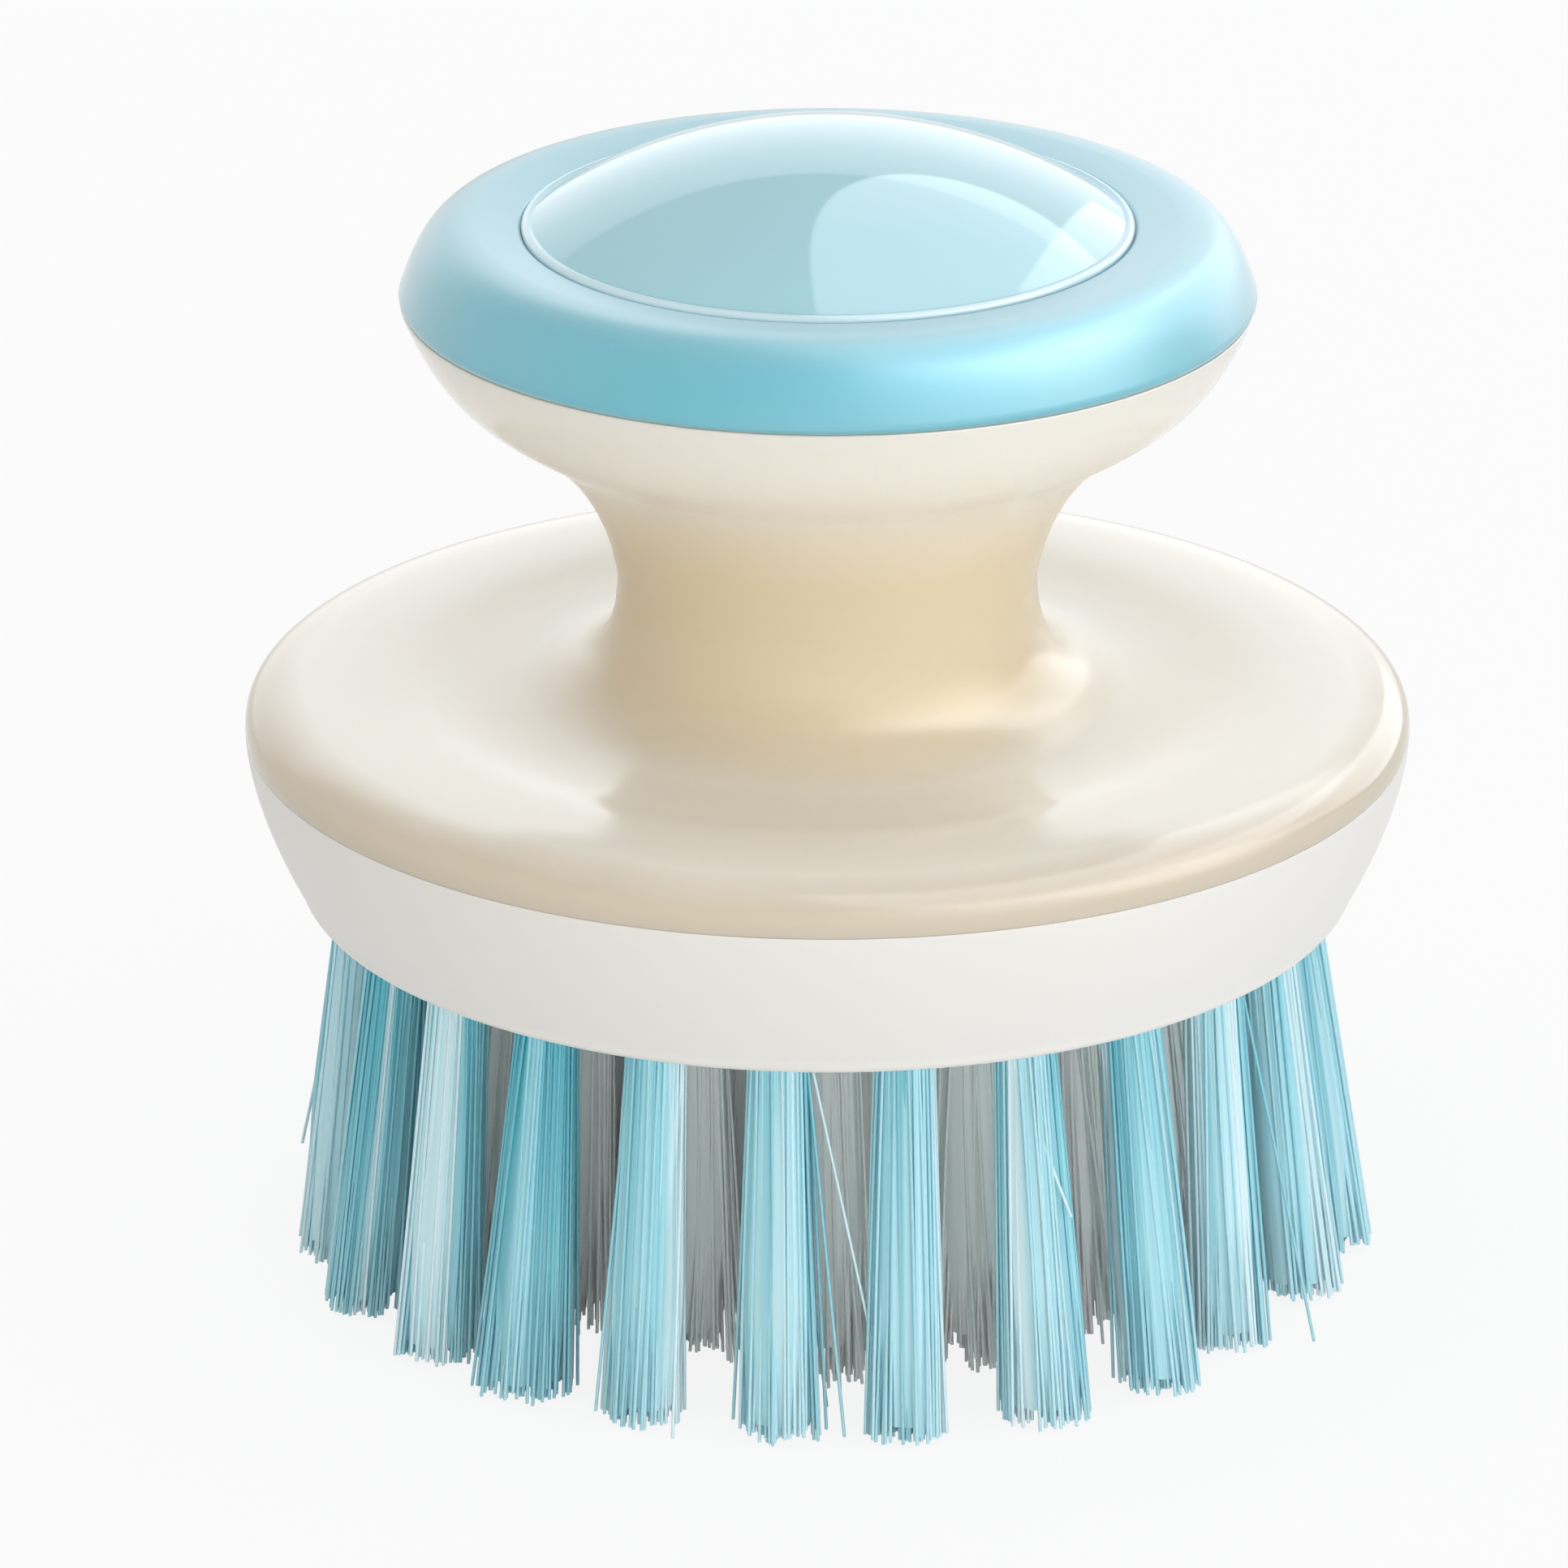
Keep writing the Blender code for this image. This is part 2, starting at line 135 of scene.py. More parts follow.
class Recipe:
    """The node tree of one material or of the world, written as expressions."""

    def __init__(self, tree: bpy.types.NodeTree) -> None:
        """Start from an empty tree."""
        self.tree = tree
        self.tree.nodes.clear()

    def node(self, kind: str, settings: dict | None = None, feeds: dict | None = None,
             output: int | str = 0) -> Value:
        """Add a node.

        Args:
            kind: the node's type.
            settings: its settings, set before its sockets; "stops" are a ramp's.
            feeds: what goes into its sockets, by name or number.
            output: the output that is wanted, by name or number.

        Returns:
            The wanted output.
        """
        made = self.tree.nodes.new(kind)
        for name, setting in (settings or {}).items():
            if name == "stops":
                self._set_stops(made.color_ramp, setting)
            else:
                setattr(made, name, setting)
        for key, feed in (feeds or {}).items():
            self._feed(made.inputs[key], feed)
        return Value(self, made.outputs[output])

    def _set_stops(self, ramp: bpy.types.ColorRamp, stops: Iterable[tuple[float, Colour]]) -> None:
        """Give a ramp its stops.

        Args:
            ramp: the ramp, as it comes with two stops.
            stops: places and colours, in order.
        """
        for index, (place, colour) in enumerate(stops):
            stop = ramp.elements[index] if index < 2 else ramp.elements.new(place)
            stop.position = place
            stop.color = (*colour, 1.0)

    def _feed(self, socket: bpy.types.NodeSocket, feed: Feed) -> None:
        """Link a value to a socket, or set a number, vector or colour on it.

        Args:
            socket: the socket to fill.
            feed: what goes into it.
        """
        if isinstance(feed, Value):
            self.tree.links.new(feed.socket, socket)
        elif socket.type == "VECTOR" and isinstance(feed, float):
            socket.default_value = (feed, feed, feed)
        elif socket.type == "RGBA":
            socket.default_value = (*feed, 1.0)
        else:
            socket.default_value = feed

    def place(self) -> Value:
        """The point on the piece, in the frame's axes."""
        return self.node("ShaderNodeTexCoord", output="Object")

    def noise(self, place: Value, size: float, detail: float = 2.0) -> Value:
        """Soft noise from 0 to 1, with features of one width and with a number of finer layers."""
        return self.node("ShaderNodeTexNoise", feeds={"Vector": place, "Scale": 1 / size, "Detail": detail})

    def attribute(self, name: str) -> Value:
        """A number that the piece's mesh holds at each point."""
        return self.node("ShaderNodeAttribute", {"attribute_name": name}, output="Fac")

    def blend(self, share: Feed, first: Feed, second: Feed) -> Value:
        """Mix two colours, 0 giving the first and 1 the second."""
        return self.node("ShaderNodeMix", {"data_type": "RGBA"}, {0: share, 6: first, 7: second}, 2)

    def ramp(self, share: Value, stops: Iterable[tuple[float, Colour]]) -> Value:
        """Read a colour off a ramp."""
        return self.node("ShaderNodeValToRGB", {"stops": stops}, {0: share})

    def relief(self, height: Value, depth: float) -> Value:
        """Turn a height from 0 to 1 into a relief of a real depth."""
        return self.node("ShaderNodeBump", feeds={"Strength": 1.0, "Distance": depth, "Height": height})

    def principled(self, feeds: dict) -> Value:
        """The usual surface shader, with what is set on it."""
        return self.node("ShaderNodeBsdfPrincipled", feeds=feeds)

    def mix(self, share: Feed, first: Value, second: Value) -> Value:
        """Mix two shaders, 0 giving the first and 1 the second."""
        return self.node("ShaderNodeMixShader", feeds={0: share, 1: first, 2: second})

    def close(self, surface: Value, kind: str = "ShaderNodeOutputMaterial") -> None:
        """Send the finished surface to the tree's output."""
        end = self.tree.nodes.new(kind)
        self.tree.links.new(surface.socket, end.inputs["Surface"])


class Finish:
    """A surface finish, which makes its material once."""

    name: str

    def shade(self, recipe: Recipe) -> Value:
        """Write the finish's nodes into a recipe and give its surface back."""
        raise NotImplementedError

    def material(self) -> bpy.types.Material:
        """Make the finish's material, or find the one made before.

        Returns:
            The material.
        """
        made = bpy.data.materials.get(self.name)
        if made is None:
            made = bpy.data.materials.new(self.name)
            made.use_nodes = True
            recipe = Recipe(made.node_tree)
            recipe.close(self.shade(recipe))
        return made


@dataclass(frozen=True)
class MouldedPlastic(Finish):
    """Hard moulded plastic, whose gloss and colour wander a little over the surface.

    A plastic's colour goes by bands, each a radius from the axis and the colour there; on the cream
    and the dome some of the bands are painted shade and a painted highlight. Close to the axis the
    surface may be hazier than further out.
    """

    name: str
    bands: tuple[tuple[float, Colour], ...]
    roughness: float
    roughness_swing: float
    haze: float = 0.0
    haze_from: float = 0.019
    haze_to: float = 0.028
    drift: float = 0.0020
    cloud_size: float = 0.018
    skin_size: float = 0.0022
    skin_depth: float = 0.0000015
    translucence: float = 0.0
    reach: Colour = (0.0030, 0.0022, 0.0014)
    ior: float = 1.50

    def shade(self, recipe: Recipe) -> Value:
        """Write the plastic's nodes.

        Args:
            recipe: where the nodes go.

        Returns:
            The surface.
        """
        place = recipe.place()
        cloud = recipe.noise(place, self.cloud_size)
        skin = recipe.noise(place, self.skin_size)
        level = place * (1.0, 1.0, 0.0)
        radius = recipe.node("ShaderNodeVectorMath", {"operation": "LENGTH"}, {0: level}, "Value")
        clear = recipe.node("ShaderNodeMapRange", {"interpolation_type": "SMOOTHSTEP"}, {
            "Value": radius, "From Min": self.haze_from, "From Max": self.haze_to,
        })
        # Base colour by radius: on the cream the inner and outer bands are painted shade, on the dome the
        # outer band is a painted highlight
        drifted = (radius + self.drift * (cloud - 0.5)) * (1 / BAND_SPAN)
        stops = tuple((reach / BAND_SPAN, colour) for reach, colour in self.bands)
        return recipe.principled({
            "Base Color": recipe.ramp(drifted, stops),
            "Roughness": self.roughness + self.haze * (1.0 - clear) + self.roughness_swing * (skin - 0.5),
            "Normal": recipe.relief(skin, self.skin_depth),
            "IOR": self.ior,
            "Subsurface Weight": self.translucence,
            "Subsurface Radius": self.reach,
            "Subsurface Scale": 1.0,
        })


@dataclass(frozen=True)
class SoftGrip(Finish):
    """Satin elastomer with a fine, dry grain."""

    name: str
    colour: Colour
    deep_colour: Colour
    roughness: float = 0.34
    roughness_swing: float = 0.08
    cloud_size: float = 0.012
    grain_size: float = 0.00035
    grain_depth: float = 0.000003
    sheen: float = 1.0
    sheen_roughness: float = 0.4
    ior: float = 2.15

    def shade(self, recipe: Recipe) -> Value:
        """Write the elastomer's nodes.

        Args:
            recipe: where the nodes go.

        Returns:
            The surface.
        """
        place = recipe.place()
        cloud = recipe.noise(place, self.cloud_size, detail=3.0)
        grain = recipe.noise(place, self.grain_size)
        return recipe.principled({
            "Base Color": recipe.blend(cloud, self.colour, self.deep_colour),
            "Roughness": self.roughness + self.roughness_swing * (grain - 0.5),
            "Normal": recipe.relief(grain, self.grain_depth),
            "IOR": self.ior,
            "Sheen Weight": self.sheen,
            "Sheen Roughness": self.sheen_roughness,
        })


@dataclass(frozen=True)
class NylonStrand(Finish):
    """Drawn nylon that lets light through, each strand a little unlike the next."""

    name: str
    deep_colour: Colour
    colour: Colour
    pale_colour: Colour
    tip_colour: Colour
    tip_fade: float = 0.35
    roughness: float = 0.36
    roughness_swing: float = 0.12
    draw_size: float = 0.0012
    translucence: float = 0.05
    ior: float = 1.60

    def shade(self, recipe: Recipe) -> Value:
        """Write the nylon's nodes.

        Args:
            recipe: where the nodes go.

        Returns:
            The surface.
        """
        tone = recipe.attribute("tone")
        along = recipe.attribute("along")
        stops = ((0.0, self.deep_colour), (0.5, self.colour), (1.0, self.pale_colour))
        body = recipe.blend(self.tip_fade * (along * along), recipe.ramp(tone, stops), self.tip_colour)
        drawn = recipe.noise(recipe.place(), self.draw_size)
        face = recipe.principled({
            "Base Color": body,
            "Roughness": self.roughness + self.roughness_swing * (drawn - 0.5),
            "IOR": self.ior,
        })
        through = recipe.node("ShaderNodeBsdfTranslucent", feeds={"Color": body})
        return recipe.mix(self.translucence, face, through)


@dataclass(frozen=True)
class StudioPaper(Finish):
    """White paper that the camera sees as a white ground with the object's shadow on it."""

    name: str = "studio_paper"
    colour: Colour = (0.78, 0.78, 0.78)
    glow: float = 0.88
    roughness: float = 0.9
    roughness_swing: float = 0.05
    fibre_size: float = 0.004

    def shade(self, recipe: Recipe) -> Value:
        """Write the paper's nodes.

        Args:
            recipe: where the nodes go.

        Returns:
            The surface.
        """
        fibre = recipe.noise(recipe.place(), self.fibre_size, detail=3.0)
        roughness = self.roughness + self.roughness_swing * fibre
        paper = recipe.principled({"Base Color": self.colour, "Roughness": roughness})
        white = recipe.node("ShaderNodeEmission", feeds={"Color": WHITE, "Strength": 1.0})
        return recipe.mix(self.glow * seen_directly(recipe), paper, white)


def seen_directly(recipe: Recipe) -> Value:
    """Tell what the camera sees, also in a reflection or through glass, from scattered light.

    Args:
        recipe: where the nodes go.

    Returns:
        1 for what is seen, and 0 for scattered light.
    """
    camera = recipe.node("ShaderNodeLightPath", output="Is Camera Ray")
    glossy = recipe.node("ShaderNodeLightPath", output="Is Glossy Ray")
    clear = recipe.node("ShaderNodeLightPath", output="Is Transmission Ray")
    return camera.above(glossy).above(clear)


CREAM_GLOSS = MouldedPlastic(
    name="cream_gloss_plastic",
    bands=(
        # Painted shade: a darker, amber band round the neck's foot, where shade falls in the fillet
        (0.0165, srgb(223, 207, 177)),
        (0.0225, srgb(239, 234, 223)),
        (0.0390, srgb(239, 234, 223)),
        # Painted shade: a darker band down the rim's side, which gets less light than the top of the disc
        (0.0422, srgb(211, 199, 179)),
    ),
    roughness=0.15,
    roughness_swing=0.03,
    haze=0.08,
    translucence=0.20,
    reach=(0.0040, 0.0028, 0.0016),
)
WHITE_MATT = MouldedPlastic(
    name="white_matt_plastic",
    # A little darker towards the axis
    bands=((0.019, srgb(229, 227, 222)), (0.028, srgb(233, 231, 227))),
    roughness=0.42,
    roughness_swing=0.06,
    skin_size=0.0006,
    skin_depth=0.000002,
)
BLUE_GLOSS = MouldedPlastic(
    name="blue_gloss_plastic",
    # Painted highlight: the narrow outer band makes the dome's edge bead pale, a bright line round its rim
    bands=((0.0217, srgb(163, 211, 221)), (0.0221, srgb(212, 235, 242))),
    drift=0.0001,
    roughness=0.06,
    roughness_swing=0.02,
    ior=1.68,
)
BLUE_GRIP = SoftGrip(
    name="blue_soft_grip",
    colour=srgb(84, 176, 194),
    deep_colour=srgb(79, 172, 190),
)
BLUE_NYLON = NylonStrand(
    name="blue_nylon",
    deep_colour=srgb(94, 190, 208),
    colour=srgb(168, 229, 242),
    pale_colour=srgb(222, 247, 254),
    tip_colour=srgb(224, 248, 254),
)
CREAM_NYLON = NylonStrand(
    name="cream_nylon",
    deep_colour=srgb(243, 250, 246),
    colour=srgb(249, 254, 253),
    pale_colour=srgb(252, 254, 254),
    tip_colour=srgb(252, 254, 254),
)


def arc(centre: Point, radii: Point, start_deg: float, end_deg: float, steps: int) -> list[Point]:
    """Points of an elliptic arc in the profile plane.

    Args:
        centre: the arc's centre, as radius and height.
        radii: its half axes.
        start_deg: where it starts.
        end_deg: where it ends.
        steps: how many stretches it has.

    Returns:
        The points, both ends included.
    """
    points = []
    for step in range(steps + 1):
        turn = math.radians(start_deg + (end_deg - start_deg) * step / steps)
        points.append((centre[0] + radii[0] * math.cos(turn), centre[1] + radii[1] * math.sin(turn)))
    return points


def curve(start: Point, leave: Point, arrive: Point, end: Point, steps: int) -> list[Point]:
    """Points of a cubic curve in the profile plane.

    Args:
        start: its first point, which is left out of the result.
        leave: the point that its start heads for.
        arrive: the point that its end comes from.
        end: its last point.
        steps: how many stretches it has.

    Returns:
        The points after the first.
    """
    points = []
    for step in range(1, steps + 1):
        t = step / steps
        weights = ((1 - t) ** 3, 3 * t * (1 - t) ** 2, 3 * t * t * (1 - t), t ** 3)
        corners = (start, leave, arrive, end)
        points.append(tuple(sum(w * c[axis] for w, c in zip(weights, corners)) for axis in (0, 1)))
    return points


def up_slope(point: Point, slope_deg: float, length: float) -> Point:
    """The point a length up a slope from another, in the profile plane."""
    slope = math.radians(slope_deg)
    return (point[0] + length * math.cos(slope), point[1] + length * math.sin(slope))


def walled(path: list[Point], wall: float) -> list[Point]:
    """Shift an open path by a wall's thickness, to the right of the way that it runs.

    Args:
        path: the outer face.
        wall: the thickness.

    Returns:
        The inner face, point for point.
    """
    inner = []
    for index, point in enumerate(path):
        before = path[max(index - 1, 0)]
        after = path[min(index + 1, len(path) - 1)]
        along = (after[0] - before[0], after[1] - before[1])
        length = math.hypot(*along)
        inner.append((point[0] + along[1] / length * wall, point[1] - along[0] / length * wall))
    return inner


@dataclass(frozen=True)
class Stack:
    """Heights and radii that the CAD bodies set."""

    face_z: float
    seam_z: float
    flange_z: float
    ring_top_z: float
    apex_z: float
    base_radius: float
    flange_radius: float
    brim_radius: float

    @classmethod
    def from_frame(cls) -> "Stack":
        """Read them from the boxes of the four mouldings.

        Returns:
            The heights and radii.
        """
        block_low, block_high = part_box("brush_block")
        shell_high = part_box("handle_shell")[1]
        dome_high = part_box("palm_dome")[1]
        ring_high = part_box("grip_ring")[1]
        return cls(
            face_z=block_low.z,
            seam_z=block_high.z + CAD_GAP / 2,
            flange_z=shell_high.z,
            ring_top_z=ring_high.z,
            apex_z=dome_high.z,
            base_radius=block_high.x,
            flange_radius=ring_high.x,
            brim_radius=dome_high.x,
        )


@dataclass(frozen=True)
class Softened:
    """A corner of a turned outline that gets rounded."""

    radius: float
    height: float
    round: float
    segments: int = 3


def new_mesh(name: str, bm: bmesh.types.BMesh) -> bpy.types.Mesh:
    """Write a bmesh to a new mesh and free it.

    Args:
        name: the mesh's name.
        bm: what it holds.

    Returns:
        The mesh.
    """
    mesh = bpy.data.meshes.new(name)
    bm.to_mesh(mesh)
    bm.free()
    return mesh


def in_scene(name: str, data: bpy.types.ID) -> bpy.types.Object:
    """Put a mesh, lamp or camera in the scene.

    Args:
        name: the name of its object.
        data: the mesh, lamp or camera.

    Returns:
        Its object, at the origin.
    """
    made = bpy.data.objects.new(name, data)
    bpy.context.scene.collection.objects.link(made)
    return made


def turned_body(outline: list[Point], steps: int, closed: bool = False) -> bmesh.types.BMesh:
    """Turn an outline round the Z axis.

    Args:
        outline: its points, each a radius and a height.
        steps: how many stretches the full turn has.
        closed: whether it closes on itself, away from the axis, and doesn't end on it.

    Returns:
        The turned body, its faces pointing out.
    """
    bm = bmesh.new()
    verts = [bm.verts.new((radius, 0.0, height)) for radius, height in outline]
    edges = [bm.edges.new(pair) for pair in zip(verts, verts[1:])]
    if closed:
        edges.append(bm.edges.new((verts[-1], verts[0])))
    bmesh.ops.spin(bm, geom=verts + edges, cent=(0, 0, 0), axis=(0, 0, 1), dvec=(0, 0, 0),
                   angle=math.tau, steps=steps, use_merge=True)
    bmesh.ops.remove_doubles(bm, verts=bm.verts, dist=MERGE_DISTANCE)
    bmesh.ops.recalc_face_normals(bm, faces=bm.faces)
    return bm


def make_piece(name: str, mesh: bpy.types.Mesh, finish: Finish, nodes: Iterable[str],
               sharp_deg: float = 38.0) -> bpy.types.Object:
    """Make a mesh a piece of the brush that stands for its CAD nodes.

    Args:
        name: the piece's name.
        mesh: its mesh, in place.
        finish: what it is dressed in.
        nodes: the CAD nodes that it stands for.
        sharp_deg: edges that turn more than this stay crisp.

    Returns:
        The piece.
    """
    mesh.shade_smooth()
    mesh.set_sharp_from_angle(angle=math.radians(sharp_deg))
    mesh.materials.clear()
    mesh.materials.append(finish.material())
    piece = in_scene(name, mesh)
    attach(piece, BODY)
    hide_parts(*nodes)
    return piece


@dataclass
class Moulding:
    """A moulding turned round the brush's axis. Its outline is closed, or has both ends on the axis."""

    stack: Stack
    name: str = ""
    node: str = ""
    slot: Slot = Slot.BLOCK
    finish: Finish = WHITE_MATT
    closed: bool = True
    turn_steps: int = 192
    seam: float = 0.00003

    def outline(self) -> list[Point]:
        """The outline to turn, each point a radius and a height."""
        raise NotImplementedError

    def softened(self) -> list[Softened]:
        """The corners that get rounded."""
        return []

    def turned(self) -> bmesh.types.BMesh:
        """Turn the outline and round its corners.

        Returns:
            The closed body.
        """
        bm = turned_body(self.outline(), self.turn_steps, self.closed)
        for corner in self.softened():
            self._soften(bm, corner)
        return bm

    def _soften(self, bm: bmesh.types.BMesh, corner: Softened) -> None:
        """Round one corner all the way round.

        Args:
            bm: the turned body.
            corner: where it is and how round it gets.
        """
        ring = {
            vert for vert in bm.verts
            if abs(vert.co.z - corner.height) < CORNER_WITHIN
            and abs(vert.co.xy.length - corner.radius) < CORNER_WITHIN
        }
        edges = [edge for edge in bm.edges if ring.issuperset(edge.verts)]
        bmesh.ops.bevel(bm, geom=edges, offset=corner.round, segments=corner.segments, profile=0.5,
                        affect="EDGES", material=-1, clamp_overlap=True)

    def build(self) -> list[bpy.types.Object]:
        """Make the moulding's piece."""
        mesh = new_mesh(self.name, self.turned())
        return [make_piece(self.name, mesh, self.finish, [self.node])]


@dataclass
class GripRing(Moulding):
    """The satin ring round the palm dome."""

    name: str = "grip_ring_skin"
    node: str = "grip_ring"
    slot: Slot = Slot.GRIP
    finish: Finish = BLUE_GRIP
    width: float = 0.0089
    crest_width: float = 0.0057
    edge_round: float = 0.0004
    lip_drop: float = 0.0003
    crest_pull: float = 0.47
    side_pull: float = 0.91
    side_tilt: float = 0.31
    outside_steps: int = 36
    edge_steps: int = 8

    def inner_radius(self) -> float:
        """Radius of the ring's opening."""
        return self.stack.flange_radius - self.width

    def lip_z(self) -> float:
        """Height of the lip round the opening."""
        return self.stack.ring_top_z - self.lip_drop

    def outline(self) -> list[Point]:
        """Down the rounded outside and up the opening.

        Returns:
            The closed outline.
        """
        edge = self.edge_round
        outer = self.stack.flange_radius
        foot_z = self.stack.flange_z + self.seam
        crest = (outer - self.crest_width, self.stack.ring_top_z)
        shoulder = (outer, foot_z + edge)
        rise = crest[1] - shoulder[1]
        leave = (crest[0] + self.crest_pull * self.crest_width, crest[1])
        arrive = (outer - self.side_tilt * rise, shoulder[1] + self.side_pull * rise)
        outside = [crest] + curve(crest, leave, arrive, shoulder, self.outside_steps)
        foot = arc((outer - edge, shoulder[1]), (edge, edge), 0, -90, self.edge_steps)[1:]
        inner = self.inner_radius()
        lip = arc((inner + edge, self.lip_z() - edge), (edge, edge), 180, 90, self.edge_steps)
        return outside + foot + [(inner, foot_z)] + lip


@dataclass
class PalmDome(Moulding):
    """The glossy dome that snaps into the handle shell and fills the ring's opening."""

    name: str = "palm_dome_skin"
    node: str = "palm_dome"
    slot: Slot = Slot.DOME
    finish: Finish = BLUE_GLOSS
    closed: bool = False
    opening_radius: float = 0.0
    lip_z: float = 0.0
    lip_step: float = 0.0002
    wall: float = 0.0020
    brim: float = 0.0010
    snap_inset: float = 0.0026
    snap_wall: float = 0.0016
    bead: float = 0.00045
    bead_rise: float = 0.0001
    bead_start_deg: float = 130.0
    bead_steps: int = 10
    dome_steps: int = 48

    def outline(self) -> list[Point]:
        """From the apex down the outside, round the brim and snap skirt, and up the inside.

        Returns:
            The open outline, both ends on the axis.
        """
        stack = self.stack
        radius = self.opening_radius - self.seam
        crown_z = self.lip_z - self.lip_step
        rise = stack.apex_z - crown_z
        ball = (radius ** 2 + rise ** 2) / (2 * rise)
        centre = (0.0, stack.apex_z - ball)
        bead_centre = (radius - self.bead, crown_z + self.bead_rise)
        bead = arc(bead_centre, (self.bead, self.bead), self.bead_start_deg, 0, self.bead_steps)
        edge_deg = math.degrees(math.acos(bead[0][0] / ball))
        inside_radius = radius - self.wall
        inside_deg = math.degrees(math.acos(inside_radius / (ball - self.wall)))
        brim_low = stack.flange_z - self.brim
        snap_radius = stack.brim_radius - self.snap_inset
        snap_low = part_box(self.node)[0].z
        outside = arc(centre, (ball, ball), 90, edge_deg, self.dome_steps) + bead[1:]
        outside[0] = (0.0, outside[0][1])
        inside = arc(centre, (ball - self.wall,) * 2, inside_deg, 90, self.dome_steps // 2)
        inside[-1] = (0.0, inside[-1][1])
        skirt = [
            (radius, stack.flange_z),
            (stack.brim_radius, stack.flange_z),
            (stack.brim_radius, brim_low),
            (snap_radius, brim_low),
            (snap_radius, snap_low),
            (snap_radius - self.snap_wall, snap_low),
            (snap_radius - self.snap_wall, brim_low),
            (inside_radius, brim_low),
        ]
        return outside + skirt + inside


@dataclass
class HandleShell(Moulding):
    """The cream shell: flange, waist and base disc in one moulding."""

    name: str = "handle_shell_skin"
    node: str = "handle_shell"
    slot: Slot = Slot.SHELL
    finish: Finish = CREAM_GLOSS
    wall: float = 0.0022
    rim_rise: float = 0.0035
    rim_width: float = 0.0085
    rim_power: float = 3.0
    dish_depth: float = 0.0006
    foot_width: float = 0.0098
    fillet_pull: float = 0.60
    foot_pull: float = 0.80
    waist_radius: float = 0.01545
    waist_height: float = 0.0115
    flare_reach: float = 0.0073
    flare_height: float = 0.0235
    flare_slope_deg: float = 33.0
    flange_slope_deg: float = 68.0
    flange_pull: float = 0.74
    flare_upper_pull: float = 0.40
    flare_lower_pull: float = 0.68
    rim_land: float = 0.0018
    ledge_width: float = 0.0026
    ledge_drop: float = 0.0013
    tray_wall: float = 0.0025
    skirt_wall: float = 0.0020
    skirt_drop: float = 0.0030
    flange_round: float = 0.00025
    seam_round: float = 0.00004
    neck_steps: int = 20
    fillet_steps: int = 28
    dish_steps: int = 14
    rim_steps: int = 32

    def crest(self) -> Point:
        """The top of the base disc's rim."""
        return (self.stack.base_radius - self.rim_width, self.stack.seam_z + self.rim_rise)

    def seam_edge(self) -> Point:
        """The outer edge that meets the brush block."""
        return (self.stack.base_radius, self.stack.seam_z + self.seam / 2)

    def neck_path(self) -> list[Point]:
        """The outside from the flange down to the crest of the base disc.

        Returns:
            The points, both ends included.
        """
        stack = self.stack
        crest = self.crest()
        flange = (stack.flange_radius, stack.flange_z)
        flare = (self.waist_radius + self.flare_reach, stack.seam_z + self.flare_height)
        waist = (self.waist_radius, stack.seam_z + self.waist_height)
        foot = (self.waist_radius + self.foot_width, crest[1] - self.dish_depth)
        upper = flange[1] - flare[1]
        lower = flare[1] - waist[1]
        leave = up_slope(flange, self.flange_slope_deg, -self.flange_pull * upper)
        arrive = up_slope(flare, self.flare_slope_deg, self.flare_upper_pull * upper)
        path = [flange] + curve(flange, leave, arrive, flare, self.neck_steps)
        leave = up_slope(flare, self.flare_slope_deg, -self.flare_lower_pull * lower)
        path += curve(flare, leave, waist, waist, self.neck_steps)
        leave = (waist[0], waist[1] - self.fillet_pull * (waist[1] - foot[1]))
        arrive = (foot[0] - self.foot_pull * self.foot_width, foot[1])
        path += curve(waist, leave, arrive, foot, self.fillet_steps)
        middle = (foot[0] + crest[0]) / 2
        return path + curve(foot, (middle, foot[1]), (middle, crest[1]), crest, self.dish_steps)

    def rim_path(self) -> list[Point]:
        """The rounded rim, from its crest out and down to the seam.

        Returns:
            The points after the crest.
        """
        crest = self.crest()
        points = []
        for step in range(1, self.rim_steps):
            turn = math.pi / 2 * step / self.rim_steps
            out = math.sin(turn) ** (2 / self.rim_power)
            drop = math.cos(turn) ** (2 / self.rim_power)
            points.append((crest[0] + self.rim_width * out, self.stack.seam_z + self.rim_rise * drop))
        return points + [self.seam_edge()]

    def outline(self) -> list[Point]:
        """Down the outside, up the skirt and the inside, and round the dome's socket.

        Returns:
            The closed outline.
        """
        stack = self.stack
        crest = self.crest()
        rebate_radius = stack.flange_radius - self.rim_land
        socket_radius = rebate_radius - self.ledge_width
        ledge_z = stack.flange_z - self.ledge_drop
        outer = self.neck_path()
        inside = walled(outer, self.wall)
        inner = [point for point in inside if point[0] < socket_radius or point[1] < crest[1]]
        neck = [point for point in inner if point[0] < socket_radius and point[1] > crest[1]]
        skirt_radius = stack.base_radius - self.tray_wall - CAD_GAP
        skirt_low = stack.seam_z - self.skirt_drop
        ceiling_z = crest[1] - self.wall
        skirt = [
            (skirt_radius, self.seam_edge()[1]),
            (skirt_radius, skirt_low),
            (skirt_radius - self.skirt_wall, skirt_low),
            (skirt_radius - self.skirt_wall, ceiling_z),
            (crest[0], ceiling_z),
        ]
        socket = [
            (socket_radius, neck[0][1]),
            (socket_radius, ledge_z),
            (rebate_radius, ledge_z),
            (rebate_radius, stack.flange_z),
        ]
        return outer + self.rim_path() + skirt + inner[::-1] + socket

    def softened(self) -> list[Softened]:
        """The flange's corner under the ring, and the edge of the seam."""
        return [
            Softened(self.stack.flange_radius, self.stack.flange_z, self.flange_round),
            Softened(*self.seam_edge(), self.seam_round),
        ]


